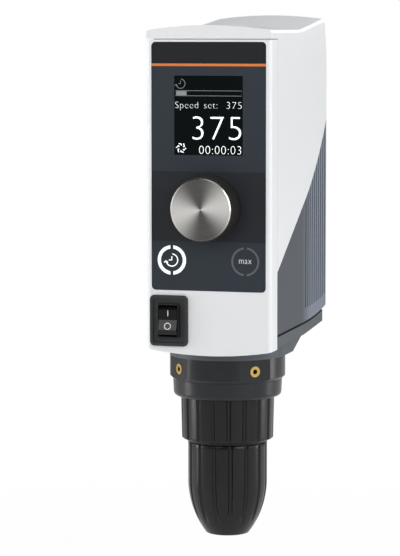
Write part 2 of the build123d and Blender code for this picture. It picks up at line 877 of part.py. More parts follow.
with BuildPart() as display_module:
    add(slab(
        module_width, module_height, (0, display_center_z), panel_back_y, panel_back_y + module_thick
    ))
with BuildPart() as touch_board:
    add(slab(
        2 * cavity_half - 2 * ledge, touch_board_height, (0, key_center_z - wall / 2),
        panel_back_y, panel_back_y + board_thick,
    ))
board_center_z = (control_board_bottom_z + control_board_top_z) / 2
board_back_y = control_board_y + board_thick
with BuildPart() as control_board:
    add(slab(
        control_board_width, control_board_top_z - control_board_bottom_z, (0, board_center_z),
        control_board_y, board_back_y,
    ))
    for x, z in ((-standoff_x / 2, knob_center_z), (standoff_x / 2, display_center_z), (0, board_center_z)):
        add(slab(chip_size, chip_size, (x, z), board_back_y, board_back_y + chip_thick))
power_center_z = (power_board_bottom_z + power_board_top_z) / 2
power_back_y = power_board_y + board_thick
power_standoff_x = power_board_half - standoff_inset_z
with BuildPart() as rear_standoffs:
    for x in (-power_standoff_x, power_standoff_x):
        for z in (power_board_bottom_z + standoff_inset_z, power_board_top_z - standoff_inset_z):
            add(bar(standoff_r, (x, z), power_back_y, rear_y))
    add(lip_inner_form, mode=Mode.INTERSECT)
with BuildPart() as board_standoffs:
    for x in (-standoff_x, standoff_x):
        for z in (control_board_bottom_z + standoff_inset_z, control_board_top_z - standoff_inset_z):
            add(bar(standoff_r, (x, z), panel_back_y, control_board_y))
    add(rear_standoffs.part)

# Encoder behind the panel and the knob on its sprung shaft
encoder_floor_y = control_board_y - encoder_floor
encoder_front_y = panel_front_y - encoder_bush_out
knob_place = (0, knob_center_z)
knob_face_y = front_y - knob_reach
cap_back_y = knob_face_y + knob_cap_thick
shaft_front_y = cap_back_y + 1.5 * knob_wall
knob_hub_y = panel_front_y - knob_lift - seam
rotor_bore_r = knob_shaft_r + running_gap
with BuildPart() as encoder_body:
    add(slab(encoder_size, encoder_size, knob_place, panel_back_y, control_board_y))
    add(bar(encoder_bush_r, knob_place, encoder_front_y, panel_back_y))
    add(bar(encoder_bore_r, knob_place, front_y - wall, encoder_floor_y), mode=Mode.SUBTRACT)
with BuildPart() as encoder_rotor:
    add(bar(encoder_bore_r - running_gap, knob_place, panel_front_y, encoder_floor_y - seam))
    add(bar(rotor_bore_r, knob_place, front_y, seam_y), mode=Mode.SUBTRACT)
with BuildPart() as knob_shaft:
    add(bar(knob_shaft_r, knob_place, shaft_front_y, encoder_floor_y - 2 * knob_press))


def about_knob(points):
    """Solid turned about the knob's axis from points of radius and depth."""
    with BuildPart() as body:
        with BuildSketch(Plane.XY.offset(knob_center_z)):
            with BuildLine():
                Polyline(*points, close=True)
            make_face()
        revolve(axis=Axis((0, 0, knob_center_z), (0, 1, 0)))
    return body.part


knob_base_y = panel_front_y - knob_lift
rim_y = knob_face_y + knob_cap_proud
knob_slope = (knob_base_r - knob_face_r) / (knob_base_y - rim_y)
groove_y = knob_face_y + knob_groove_back
groove_r = knob_face_r + knob_slope * (groove_y - rim_y)
with BuildPart() as knob_skirt:
    add(about_knob((
        (0, cap_back_y), (knob_cap_r, cap_back_y), (knob_cap_r, rim_y), (knob_face_r, rim_y),
        (groove_r, groove_y), (groove_r - knob_groove, groove_y),
        (groove_r - knob_groove, groove_y + knob_groove), (groove_r, groove_y + knob_groove),
        (knob_base_r, knob_base_y), (knob_base_r - knob_wall, knob_base_y),
        (knob_face_r - knob_wall, cap_back_y + knob_wall), (knob_hub_r, cap_back_y + knob_wall),
        (knob_hub_r, knob_hub_y), (0, knob_hub_y),
    )))
    add(
        bar(knob_shaft_r, knob_place, shaft_front_y, seam_y),
        mode=Mode.SUBTRACT,
    )
with BuildPart() as knob_cap:
    add(about_knob((
        (0, knob_face_y), (knob_cap_r - knob_cap_proud, knob_face_y), (knob_cap_r, rim_y),
        (knob_cap_r, cap_back_y), (0, cap_back_y),
    )))

# Mains rocker switch with its splash guard
switch_place = (switch_x, switch_z)
guard_front_y = front_y - guard_proud
guard_floor_y = guard_front_y + guard_sink
body_width = bezel_width - 2 * switch_body_inset
body_height = bezel_height - 2 * switch_body_inset
slot_width = rocker_width + 2 * rocker_slot_gap
with BuildPart() as switch_guard:
    add(slab(guard_width, guard_height, switch_place, guard_front_y, front_y, guard_corner_r))
    fillet(switch_guard.edges().group_by(Axis.Y)[0], guard_edge_r)
    sleeve_width = guard_width - 2 * guard_sleeve_inset - 2 * fit_gap
    sleeve_height = guard_height - 2 * guard_sleeve_inset - 2 * fit_gap
    add(slab(sleeve_width, sleeve_height, switch_place, front_y, front_y + frame_skin))
    add(
        slab(guard_width - 2 * guard_rim, guard_height - 2 * guard_rim, switch_place,
             guard_front_y, guard_floor_y, guard_corner_r - guard_rim),
        mode=Mode.SUBTRACT,
    )
    add(slab(body_width, body_height, switch_place, guard_front_y, seam_y), mode=Mode.SUBTRACT)
with BuildPart() as switch_bezel:
    add(slab(bezel_width, bezel_height, switch_place, front_y - bezel_proud, guard_floor_y, bezel_corner_r))
    fillet(switch_bezel.edges().group_by(Axis.Y)[0], bezel_edge_r)
    add(slab(slot_width, 2 * rocker_slot_half, switch_place, front_y - 2 * wall, seam_y), mode=Mode.SUBTRACT)
body_back_y = guard_floor_y + switch_body_depth
with BuildPart() as rocker_pin:
    with BuildSketch(Plane.YZ.offset(switch_x - body_width / 2)):
        with Locations((rocker_pivot_y, switch_z)):
            Circle(rocker_pin_r)
    extrude(amount=body_width)
with BuildPart() as switch_body:
    add(slab(body_width, body_height, switch_place, guard_floor_y, body_back_y))
    add(
        slab(
            slot_width, 2 * rocker_slot_half, switch_place,
            guard_front_y, rocker_pivot_y + switch_cavity_depth,
        ),
        mode=Mode.SUBTRACT,
    )
    add(rocker_pin.part, mode=Mode.SUBTRACT)
    for x in (switch_x - blade_offset_x, switch_x + blade_offset_x):
        for z in (switch_z - blade_offset_z, switch_z + blade_offset_z):
            add(slab(blade_width, blade_thick, (x, z), body_back_y, body_back_y + blade_reach))
with BuildPart() as rocker_form:
    with BuildSketch(Plane.YZ):
        with BuildLine():
            Polyline(
                (0, -rocker_back_r), (-rocker_end_out, -rocker_half_height),
                (-rocker_crest_out, -rocker_crest_z), (-rocker_middle_out, 0),
                (-rocker_crest_out, rocker_crest_z), (-rocker_end_out, rocker_half_height),
                (0, rocker_back_r),
            )
            ThreePointArc((0, rocker_back_r), (rocker_back_r, 0), (0, -rocker_back_r))
        make_face()
        Circle(rocker_pin_r + running_gap, mode=Mode.SUBTRACT)
    extrude(amount=rocker_width / 2, both=True)
with BuildPart() as rocker:
    with Locations(Location((switch_x, rocker_pivot_y, switch_z), (-rocker_tilt, 0, 0))):
        add(rocker_form.part)

# Shaft guide under the roof and the plug that closes it
guide_bottom_z = spindle_top_z + bezel_proud
with BuildPart() as guide_tube:
    add(turned((
        (guide_bore_r, guide_bottom_z), (guide_outer_r, guide_bottom_z),
        (guide_outer_r, roof_z - guide_flange_thick), (guide_flange_r, roof_z - guide_flange_thick),
        (guide_flange_r, roof_z), (guide_bore_r, roof_z),
    )))
    add(inner_form, mode=Mode.INTERSECT)
    add(tube(guide_outer_r, guide_bore_r, roof_z - wall, plug_seat_z))
with BuildPart() as top_plug:
    plug_bottom_z = crown_z - plug_head_thick
    add(turned((
        (0, crown_z), (plug_head_r, crown_z), (plug_head_r, plug_bottom_z),
        (guide_bore_r - running_gap, plug_bottom_z),
        (guide_bore_r - running_gap, plug_bottom_z - plug_spigot_length),
        (0, plug_bottom_z - plug_spigot_length),
    )))

# Mains inlet with its contacts and fuse drawer
inlet_face_y = rear_y + inlet_flange_thick
socket_place = (0, inlet_z + socket_rise)
drawer_place = (0, inlet_z - drawer_drop)
inlet_back_y = rear_y - inlet_body_depth
pin_places = [
    (-pin_spacing, inlet_z + socket_rise - earth_rise), (0, inlet_z + socket_rise + earth_rise),
    (pin_spacing, inlet_z + socket_rise - earth_rise),
]
with BuildPart() as mains_inlet:
    add(slab(
        inlet_flange_width, inlet_flange_height, (0, inlet_z), rear_y, inlet_face_y, inlet_corner_r
    ))
    add(slab(inlet_body_width, inlet_body_height, (0, inlet_z), inlet_back_y, rear_y))
    add(
        slab(socket_width, socket_height, socket_place, inlet_face_y - socket_depth, inlet_face_y,
             socket_corner_r),
        mode=Mode.SUBTRACT,
    )
    add(
        slab(drawer_width, drawer_height, drawer_place, inlet_face_y - drawer_depth, inlet_face_y),
        mode=Mode.SUBTRACT,
    )
    for place in pin_places:
        add(slab(pin_thick, pin_height, place, inlet_back_y, inlet_face_y), mode=Mode.SUBTRACT)
    for place in inlet_screw_places:
        add(bar(screw_r + fit_gap, place, rear_y, inlet_face_y), mode=Mode.SUBTRACT)
        add(bar(screw_head_r + fit_gap, place, rear_y + inlet_screw_seat, inlet_face_y), mode=Mode.SUBTRACT)
with BuildPart() as inlet_blades:
    for place in pin_places:
        add(slab(pin_thick, pin_height, place, inlet_back_y - pin_tail, inlet_face_y - pin_recess))
with BuildPart() as fuse_drawer:
    add(slab(
        drawer_width - 2 * fit_gap, drawer_height - 2 * fit_gap, drawer_place,
        inlet_face_y - drawer_depth + body_gap, inlet_face_y + fit_gap,
    ))
    add(slab(
        drawer_width + 2 * drawer_lip, drawer_height + 2 * drawer_lip, drawer_place,
        inlet_face_y + fit_gap, inlet_face_y + fit_gap + drawer_front, drawer_lip,
    ))
    pocket_z = drawer_place[1] + drawer_height / 2
    with BuildSketch(Plane.XY.offset(pocket_z)):
        with Locations((0, inlet_face_y - drawer_depth / 2)):
            Rectangle(drawer_width - 4 * drawer_lip, drawer_depth - 4 * drawer_lip)
    extrude(amount=-drawer_pocket_depth, mode=Mode.SUBTRACT)

# Power supply board
transformer_x, transformer_y, transformer_z = transformer_size
capacitor_z = power_board_top_z - 2 * capacitor_r
with BuildPart() as power_board:
    add(slab(
        2 * power_board_half, power_board_top_z - power_board_bottom_z, (0, power_center_z),
        power_board_y, power_back_y,
    ))
with BuildPart() as power_components:
    transformer_center_z = bridge_top_z + seam + transformer_z / 2 + board_thick
    add(slab(
        transformer_x, transformer_z, (0, transformer_center_z), power_board_y - transformer_y, power_board_y
    ))
    for x in (-motor_pulley_r, motor_pulley_r):
        add(bar(capacitor_r, (x, capacitor_z), power_board_y - capacitor_length, power_board_y))

# Bearing bridge on its four posts
cup_r = upper_bearing_r + cup_wall
upper_bearing_top_z = upper_bearing_z + upper_bearing_height
with BuildPart() as motor_bridge:
    with BuildSketch(Plane.XY.offset(bridge_z)):
        with Locations((0, (bridge_front_y + bridge_rear_y) / 2)):
            RectangleRounded(2 * bridge_half, bridge_rear_y - bridge_front_y, bridge_corner_r)
    extrude(amount=bridge_thick)
    with BuildSketch(Plane.XY.offset(bridge_z)):
        Circle(cup_r)
    extrude(amount=upper_bearing_top_z - bridge_z)
    with BuildSketch(Plane.XY.offset(upper_bearing_z)):
        Circle(upper_bearing_r)
    extrude(amount=cup_r, mode=Mode.SUBTRACT)
    with BuildSketch(Plane.XY.offset(bridge_z)):
        Circle(upper_bearing_r - outer_race_wall)
        with Locations((0, motor_y)):
            Circle(motor_bearing_r)
        with Locations(*post_places):
            Circle(screw_r)
        with Locations((0, motor_y)):
            with PolarLocations(motor_screw_r, motor_screw_count, start_angle=flat_angle):
                Circle(screw_r)
    extrude(amount=cup_r, mode=Mode.SUBTRACT)
with BuildPart() as bridge_posts:
    with BuildSketch(Plane.XY.offset(post_foot_z)):
        with Locations(*post_places):
            Circle(post_r)
    extrude(amount=bridge_z - post_foot_z)
    with BuildSketch(Plane.XY.offset(bridge_z)):
        with Locations(*post_places):
            Circle(screw_r)
    extrude(amount=-post_screw_depth, mode=Mode.SUBTRACT)
with BuildPart() as bridge_screws:
    for x, y in post_places:
        with Locations(Plane(origin=(x, y, bridge_top_z), z_dir=(0, 0, -1))):
            add(cap_screw(bridge_thick + post_screw_depth))
    with Locations(Location((0, motor_y, bridge_top_z))):
        with PolarLocations(motor_screw_r, motor_screw_count, start_angle=flat_angle):
            with Locations(Location((0, 0, 0), (180, 0, 0))):
                add(cap_screw(bridge_thick + motor_end))

# Motor
motor_top_z = bridge_z
can_low_z = motor_bottom_z + motor_end
can_high_z = motor_top_z - motor_end
motor_center = Location((0, motor_y, 0))
motor_bore_r = motor_r - motor_wall
with BuildPart() as motor_can:
    with Locations(motor_center):
        add(tube(motor_r, motor_shaft_r + fit_gap, motor_bottom_z, motor_top_z))
        add(tube(motor_bore_r, motor_shaft_r, can_low_z, can_high_z), mode=Mode.SUBTRACT)
        add(tube(motor_bearing_r + motor_wall, motor_bearing_r, can_low_z, can_low_z + motor_bearing_height))
        add(tube(motor_bearing_r + motor_wall, motor_bearing_r, can_high_z - motor_bearing_height, can_high_z))
    with BuildSketch(Plane.XY.offset(can_high_z)):
        with Locations((0, motor_y)):
            Circle(2 * motor_shaft_r)
            with PolarLocations(motor_screw_r, motor_screw_count, start_angle=flat_angle):
                Circle(screw_r)
    extrude(amount=motor_end, mode=Mode.SUBTRACT)
with BuildPart() as motor_stator:
    with BuildSketch(Plane.XY.offset(can_low_z + stator_margin)):
        with Locations((0, motor_y)):
            Circle(motor_bore_r)
            Circle(stator_inner_r, mode=Mode.SUBTRACT)
            with PolarLocations(stator_inner_r, stator_slots):
                Rectangle(2 * stator_slot_depth, stator_slot_width, mode=Mode.SUBTRACT)
    extrude(amount=can_high_z - can_low_z - 2 * stator_margin)
with BuildPart() as motor_bearings:
    with Locations(motor_center):
        add(tube(motor_bearing_r, motor_shaft_r + running_gap, can_low_z, can_low_z + motor_bearing_height))
        add(tube(
            motor_bearing_r, motor_shaft_r + running_gap, can_high_z - motor_bearing_height, can_high_z
        ))
pulley_top_z = pulley_bottom_z + pulley_height
with BuildPart() as motor_rotor:
    with Locations(motor_center):
        add(tube(
            stator_inner_r - rotor_gap, motor_shaft_r, can_low_z + stator_margin, can_high_z - stator_margin
        ))
        add(turned((
            (0, can_low_z + body_gap), (motor_shaft_r, can_low_z + body_gap),
            (motor_shaft_r, pulley_top_z), (0, pulley_top_z),
        )))


def pulley(radius, hub_r, hub_z, shaft):
    """Pulley with V grooves between two flanges, turned about the spindle axis."""
    face_low = pulley_bottom_z + pulley_flange_thick
    pitch = (pulley_height - 2 * pulley_flange_thick) / pulley_v_count
    profile = [
        (shaft, hub_z), (hub_r, hub_z), (hub_r, pulley_bottom_z),
        (radius + pulley_flange, pulley_bottom_z), (radius + pulley_flange, face_low), (radius, face_low),
    ]
    for groove in range(pulley_v_count):
        profile.append((radius - pulley_v_depth, face_low + (groove + 0.5) * pitch))
        profile.append((radius, face_low + (groove + 1) * pitch))
    profile += [
        (radius + pulley_flange, pulley_top_z - pulley_flange_thick), (radius + pulley_flange, pulley_top_z),
        (shaft, pulley_top_z),
    ]
    return turned(profile)


with BuildPart() as drive_pulley:
    with Locations(motor_center):
        add(pulley(motor_pulley_r, 2 * motor_shaft_r, bridge_top_z + 2 * pulley_flange, motor_shaft_r))
with BuildPart() as spindle_pulley:
    add(pulley(spindle_pulley_r, race_inner_r, upper_bearing_top_z, spindle_r))


def belt_outline(gap):
    """Sketch round both pulleys at a distance gap from them."""
    large = spindle_pulley_r + gap
    small = motor_pulley_r + gap
    rise = (large - small) / motor_y
    side = sqrt(1 - rise**2)
    with BuildSketch() as outline:
        with BuildLine():
            ThreePointArc((-large * side, large * rise), (0, -large), (large * side, large * rise))
            Line((large * side, large * rise), (small * side, motor_y + small * rise))
            ThreePointArc(
                (small * side, motor_y + small * rise), (0, motor_y + small),
                (-small * side, motor_y + small * rise),
            )
            Line((-small * side, motor_y + small * rise), (-large * side, large * rise))
        make_face()
    return outline.sketch


belt_low_z = pulley_bottom_z + pulley_flange_thick + belt_slack
belt_high_z = pulley_top_z - pulley_flange_thick - belt_slack
with BuildPart() as drive_belt:
    with BuildSketch(Plane.XY.offset(belt_low_z)):
        add(belt_outline(belt_slack + belt_thick))
        add(belt_outline(belt_slack), mode=Mode.SUBTRACT)
    extrude(amount=belt_high_z - belt_low_z)

# Hollow spindle with its bearings
with BuildPart() as spindle:
    add(turned((
        (bore_r, spindle_bottom_z), (spindle_r, spindle_bottom_z), (spindle_r, spindle_shoulder_z),
        (spindle_shoulder_r, spindle_shoulder_z), (spindle_shoulder_r, lower_bearing_z),
        (spindle_r, lower_bearing_z), (spindle_r, spindle_top_z), (bore_r, spindle_top_z),
    )))
with BuildPart() as spindle_nut:
    with BuildSketch(Plane.XY.offset(pulley_top_z)):
        RegularPolygon(nut_flats / 2, 6, major_radius=False)
        Circle(spindle_r, mode=Mode.SUBTRACT)
    extrude(amount=spindle_top_z - pulley_top_z)
with BuildPart() as bearing_spacer:
    add(tube(spacer_r, spindle_r, bearing_top_z, upper_bearing_z))
with BuildPart() as bearing_inner_races:
    add(tube(race_inner_r, spindle_r, lower_bearing_z, bearing_top_z))
    add(tube(race_inner_r, spindle_r, upper_bearing_z, upper_bearing_top_z))
with BuildPart() as bearing_outer_races:
    for radius, low, high in (
        (lower_bearing_r, lower_bearing_z, bearing_top_z),
        (upper_bearing_r, upper_bearing_z, upper_bearing_top_z),
    ):
        add(tube(radius, radius - outer_race_wall, low, high))
        add(tube(radius, race_inner_r + body_gap, low + shield_thick, low + 2 * shield_thick))
        add(tube(radius, race_inner_r + body_gap, high - 2 * shield_thick, high - shield_thick))
with BuildPart() as bearing_retainer:
    add(tube(
        lower_bearing_r, lower_bearing_r - retainer_wall, lower_bearing_z - retainer_thick, lower_bearing_z
    ))
with BuildPart() as spindle_seal:
    add(tube(lower_bearing_r, spindle_shoulder_r + body_gap, hub_bottom_z - seal_thick, hub_bottom_z))

# Keyless chuck: body with three slanting jaw bores
jaw_angles = [jaw_phase + index * 360 / jaw_count for index in range(jaw_count)]


def slanting_pin(radius, angle, low, high):
    """Round pin on a jaw's slanting line, cut level at two heights."""
    out = (cos(radians(angle)), sin(radians(angle)))
    rise = Vector(jaw_slope * out[0], jaw_slope * out[1], 1)
    start = Vector(jaw_start_r * out[0], jaw_start_r * out[1], 0) + rise * (low - jaw_pin_r)
    with BuildPart() as pin:
        with BuildSketch(Plane(origin=start, z_dir=rise)):
            Circle(radius)
        extrude(amount=(high - low + 2 * jaw_pin_r) / cos(radians(jaw_angle)))
        with BuildSketch(Plane.XY.offset(low)):
            Circle(sleeve_r)
        extrude(amount=high - low, mode=Mode.INTERSECT)
    return pin.part


with BuildPart() as chuck_body:
    add(turned((
        (chuck_bore_r, 0), (chuck_nose_r, 0), (chuck_waist_r, chuck_waist_z),
        (chuck_waist_r, chuck_shoulder_z), (chuck_flange_r, chuck_shoulder_z),
        (chuck_flange_r, chuck_step_z), (chuck_seat_r, chuck_step_z), (chuck_seat_r, spindle_shoulder_z),
        (spindle_r, spindle_shoulder_z), (spindle_r, spindle_bottom_z), (chuck_bore_r, spindle_bottom_z),
    )))
    for angle in jaw_angles:
        add(
            slanting_pin(jaw_pin_r + running_gap, angle, -jaw_pin_r, jaw_top_z + 2 * jaw_pin_r),
            mode=Mode.SUBTRACT,
        )


def jaw_form(angle):
    """Jaw with its hollow gripping face and its wedge flanks, in the open place."""
    apex = jaw_grip_r - jaw_closed_r + jaw_wedge_gap
    reach = 2 * sleeve_r
    spread = radians(180 / jaw_count)
    with BuildPart() as jaw:
        add(slanting_pin(jaw_pin_r, angle, 0, jaw_top_z))
        with BuildSketch(Plane.XY) as wedge:
            with BuildLine():
                Polyline(
                    *[
                        (
                            apex * cos(radians(angle)) + r * cos(radians(angle) + turn),
                            apex * sin(radians(angle)) + r * sin(radians(angle) + turn),
                        )
                        for r, turn in ((0, 0), (reach, -spread), (reach, 0), (reach, spread))
                    ],
                    close=True,
                )
            make_face()
        extrude(amount=jaw_top_z, mode=Mode.INTERSECT)
        with BuildSketch(Plane.XY):
            Circle(jaw_grip_r)
        extrude(amount=jaw_top_z, mode=Mode.SUBTRACT)
    return jaw.part


with BuildPart() as jaw_1:
    add(jaw_form(jaw_angles[0]))
with BuildPart() as jaw_2:
    add(jaw_form(jaw_angles[1]))
with BuildPart() as jaw_3:
    add(jaw_form(jaw_angles[2]))

# Split nut that drives the jaws, held in the front sleeve
jaw_outer_r = jaw_start_r + jaw_pin_r / cos(radians(jaw_angle))
nut_low_r = jaw_outer_r + jaw_slope * nut_bottom_z + 2 * fit_gap
nut_high_r = jaw_outer_r + jaw_slope * nut_top_z + 2 * fit_gap
with BuildPart() as jaw_nut:
    add(turned((
        (nut_low_r, nut_bottom_z), (nut_outer_r, nut_bottom_z), (nut_outer_r, nut_top_z),
        (nut_high_r, nut_top_z),
    )))
    with BuildSketch(Plane.XY.offset(nut_bottom_z)):
        Rectangle(2 * sleeve_r, nut_split)
    extrude(amount=nut_top_z - nut_bottom_z, mode=Mode.SUBTRACT)

# Fluted sleeves
sleeve_inner_r = chuck_flange_r + body_gap
flute_center_r = rear_sleeve_bottom_r + flute_depth / 4
with BuildPart() as sleeve_groove:
    with BuildLine(Plane.XZ) as groove_path:
        straight = Line((sleeve_r, sleeve_top_z + flute_width), (sleeve_r, sleeve_straight_z))
        TangentArc(straight @ 1, (sleeve_fade_r, sleeve_flute_end_z), tangent=straight % 1)
    with BuildSketch(Plane.XY.offset(sleeve_top_z + flute_width)):
        with Locations((sleeve_r, 0)):
            Circle(flute_depth)
    sweep(path=groove_path.line)
with BuildPart() as front_sleeve:
    with BuildSketch(Plane.XZ):
        with BuildLine():
            outline = Line((sleeve_r, sleeve_top_z), (sleeve_r, sleeve_straight_z))
            TangentArc(outline @ 1, (sleeve_nose_r, 0), tangent=outline % 1)
            Polyline(
                (sleeve_nose_r, 0), (sleeve_mouth_r, 0), (nut_low_r + seam, nut_bottom_z),
                (nut_outer_r, nut_bottom_z), (nut_outer_r, nut_top_z), (sleeve_inner_r, nut_top_z),
                (sleeve_inner_r, sleeve_top_z), (sleeve_r, sleeve_top_z),
            )
        make_face()
    revolve(axis=Axis.Z)
    with PolarLocations(0, sleeve_flutes, start_angle=flute_start + flute_turn):
        add(sleeve_groove.part, mode=Mode.SUBTRACT)
with BuildPart() as rear_sleeve:
    add(turned((
        (chuck_seat_r, chuck_step_z), (chuck_seat_r, rear_sleeve_top_z),
        (rear_sleeve_top_r, rear_sleeve_top_z), (rear_sleeve_bottom_r, rear_sleeve_bottom_z),
        (rear_sleeve_lip_r, rear_sleeve_bottom_z), (rear_sleeve_lip_r, rear_sleeve_lip_z),
        (chuck_flange_r, rear_sleeve_lip_z), (chuck_flange_r, chuck_step_z),
    )))
    with BuildSketch(Plane.XY.offset(rear_sleeve_lip_z)):
        with PolarLocations(flute_center_r, rear_sleeve_flutes, start_angle=flute_start):
            Circle(flute_depth)
    extrude(amount=rear_sleeve_top_z - rear_sleeve_lip_z, mode=Mode.SUBTRACT)

# Labels and files
front_frame.part.label = "front_frame"
control_panel.part.label = "control_panel"
display_window.part.label = "display_window"
display_module.part.label = "display_module"
timer_key_ring.part.label = "timer_key_ring"
max_key_ring.part.label = "max_key_ring"
touch_board.part.label = "touch_board"
control_board.part.label = "control_board"
board_standoffs.part.label = "board_standoffs"
encoder_body.part.label = "encoder_body"
encoder_rotor.part.label = "encoder_rotor"
knob_shaft.part.label = "knob_shaft"
knob_skirt.part.label = "knob_skirt"
knob_cap.part.label = "knob_cap"
switch_guard.part.label = "switch_guard"
switch_bezel.part.label = "switch_bezel"
switch_body.part.label = "switch_body"
rocker.part.label = "rocker"
rocker_pin.part.label = "rocker_pin"
upper_shell.part.label = "upper_shell"
rear_housing.part.label = "rear_housing"
housing_gasket.part.label = "housing_gasket"
arm_casting.part.label = "arm_casting"
insert_collar.part.label = "insert_collar"
threaded_inserts.part.label = "threaded_inserts"
lower_ring.part.label = "lower_ring"
rod_bush.part.label = "rod_bush"
case_screws.part.label = "case_screws"
top_plug.part.label = "top_plug"
guide_tube.part.label = "guide_tube"
mains_inlet.part.label = "mains_inlet"
inlet_blades.part.label = "inlet_blades"
fuse_drawer.part.label = "fuse_drawer"
power_board.part.label = "power_board"
power_components.part.label = "power_components"
motor_bridge.part.label = "motor_bridge"
bridge_posts.part.label = "bridge_posts"
bridge_screws.part.label = "bridge_screws"
motor_can.part.label = "motor_can"
motor_stator.part.label = "motor_stator"
motor_bearings.part.label = "motor_bearings"
motor_rotor.part.label = "motor_rotor"
drive_pulley.part.label = "drive_pulley"
drive_belt.part.label = "drive_belt"
spindle_pulley.part.label = "spindle_pulley"
spindle.part.label = "spindle"
spindle_nut.part.label = "spindle_nut"
bearing_spacer.part.label = "bearing_spacer"
bearing_outer_races.part.label = "bearing_outer_races"
bearing_inner_races.part.label = "bearing_inner_races"
bearing_retainer.part.label = "bearing_retainer"
spindle_seal.part.label = "spindle_seal"
chuck_body.part.label = "chuck_body"
rear_sleeve.part.label = "rear_sleeve"
front_sleeve.part.label = "front_sleeve"
jaw_nut.part.label = "jaw_nut"
jaw_1.part.label = "jaw_1"
jaw_2.part.label = "jaw_2"
jaw_3.part.label = "jaw_3"

export_step(front_frame.part, "parts/front_frame.step")
export_step(control_panel.part, "parts/control_panel.step")
export_step(display_window.part, "parts/display_window.step")
export_step(display_module.part, "parts/display_module.step")
export_step(timer_key_ring.part, "parts/timer_key_ring.step")
export_step(max_key_ring.part, "parts/max_key_ring.step")
export_step(touch_board.part, "parts/touch_board.step")
export_step(control_board.part, "parts/control_board.step")
export_step(board_standoffs.part, "parts/board_standoffs.step")
export_step(encoder_body.part, "parts/encoder_body.step")
export_step(encoder_rotor.part, "parts/encoder_rotor.step")
export_step(knob_shaft.part, "parts/knob_shaft.step")
export_step(knob_skirt.part, "parts/knob_skirt.step")
export_step(knob_cap.part, "parts/knob_cap.step")
export_step(switch_guard.part, "parts/switch_guard.step")
export_step(switch_bezel.part, "parts/switch_bezel.step")
export_step(switch_body.part, "parts/switch_body.step")
export_step(rocker.part, "parts/rocker.step")
export_step(rocker_pin.part, "parts/rocker_pin.step")
export_step(upper_shell.part, "parts/upper_shell.step")
export_step(rear_housing.part, "parts/rear_housing.step")
export_step(housing_gasket.part, "parts/housing_gasket.step")
export_step(arm_casting.part, "parts/arm_casting.step")
export_step(insert_collar.part, "parts/insert_collar.step")
export_step(threaded_inserts.part, "parts/threaded_inserts.step")
export_step(lower_ring.part, "parts/lower_ring.step")
export_step(rod_bush.part, "parts/rod_bush.step")
export_step(case_screws.part, "parts/case_screws.step")
export_step(top_plug.part, "parts/top_plug.step")
export_step(guide_tube.part, "parts/guide_tube.step")
export_step(mains_inlet.part, "parts/mains_inlet.step")
export_step(inlet_blades.part, "parts/inlet_blades.step")
export_step(fuse_drawer.part, "parts/fuse_drawer.step")
export_step(power_board.part, "parts/power_board.step")
export_step(power_components.part, "parts/power_components.step")
export_step(motor_bridge.part, "parts/motor_bridge.step")
export_step(bridge_posts.part, "parts/bridge_posts.step")
export_step(bridge_screws.part, "parts/bridge_screws.step")
export_step(motor_can.part, "parts/motor_can.step")
export_step(motor_stator.part, "parts/motor_stator.step")
export_step(motor_bearings.part, "parts/motor_bearings.step")
export_step(motor_rotor.part, "parts/motor_rotor.step")
export_step(drive_pulley.part, "parts/drive_pulley.step")
export_step(drive_belt.part, "parts/drive_belt.step")
export_step(spindle_pulley.part, "parts/spindle_pulley.step")
export_step(spindle.part, "parts/spindle.step")
export_step(spindle_nut.part, "parts/spindle_nut.step")
export_step(bearing_spacer.part, "parts/bearing_spacer.step")
export_step(bearing_outer_races.part, "parts/bearing_outer_races.step")
export_step(bearing_inner_races.part, "parts/bearing_inner_races.step")
export_step(bearing_retainer.part, "parts/bearing_retainer.step")
export_step(spindle_seal.part, "parts/spindle_seal.step")
export_step(chuck_body.part, "parts/chuck_body.step")
export_step(rear_sleeve.part, "parts/rear_sleeve.step")
export_step(front_sleeve.part, "parts/front_sleeve.step")
export_step(jaw_nut.part, "parts/jaw_nut.step")
export_step(jaw_1.part, "parts/jaw_1.step")
export_step(jaw_2.part, "parts/jaw_2.step")
export_step(jaw_3.part, "parts/jaw_3.step")
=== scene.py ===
"""Looks of an overhead stirrer: a drive head with display and knob, and a keyless chuck."""

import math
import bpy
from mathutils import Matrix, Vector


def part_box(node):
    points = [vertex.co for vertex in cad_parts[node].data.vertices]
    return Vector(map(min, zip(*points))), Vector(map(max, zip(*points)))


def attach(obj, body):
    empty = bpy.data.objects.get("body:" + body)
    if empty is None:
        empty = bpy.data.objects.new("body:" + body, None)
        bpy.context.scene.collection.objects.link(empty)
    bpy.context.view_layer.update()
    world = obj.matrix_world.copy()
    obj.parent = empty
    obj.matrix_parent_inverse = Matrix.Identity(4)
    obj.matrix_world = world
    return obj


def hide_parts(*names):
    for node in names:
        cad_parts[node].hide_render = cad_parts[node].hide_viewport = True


bl_info = {
    "name": "Overhead Stirrer Looks",
    "version": (1, 0, 0),
    "blender": (4, 5, 0),
    "location": "View3D > Sidebar > Stirrer",
    "description": "Dresses the stirrer's solids with finishes, prints and turned sleeves",
    "category": "Object",
}

import bmesh
import bpy
from bpy.props import (
    FloatProperty,
    FloatVectorProperty,
    IntProperty,
    PointerProperty,
    StringProperty,
)
from mathutils import Matrix, Vector

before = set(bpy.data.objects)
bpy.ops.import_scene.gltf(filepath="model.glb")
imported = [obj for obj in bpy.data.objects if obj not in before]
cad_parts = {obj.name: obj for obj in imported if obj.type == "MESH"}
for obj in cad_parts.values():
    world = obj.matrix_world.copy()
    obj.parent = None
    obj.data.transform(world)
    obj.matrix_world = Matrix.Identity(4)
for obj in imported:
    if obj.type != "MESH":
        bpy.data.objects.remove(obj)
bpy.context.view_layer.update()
display_low, display_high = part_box("display_window")
cap_low, cap_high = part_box("knob_cap")
FACE_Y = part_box("control_panel")[0].y
PICTURE_HEIGHT = 556
TURNING_RADIUS = 0.02
PRINT_RELIEF = 0.00004


# Small helpers


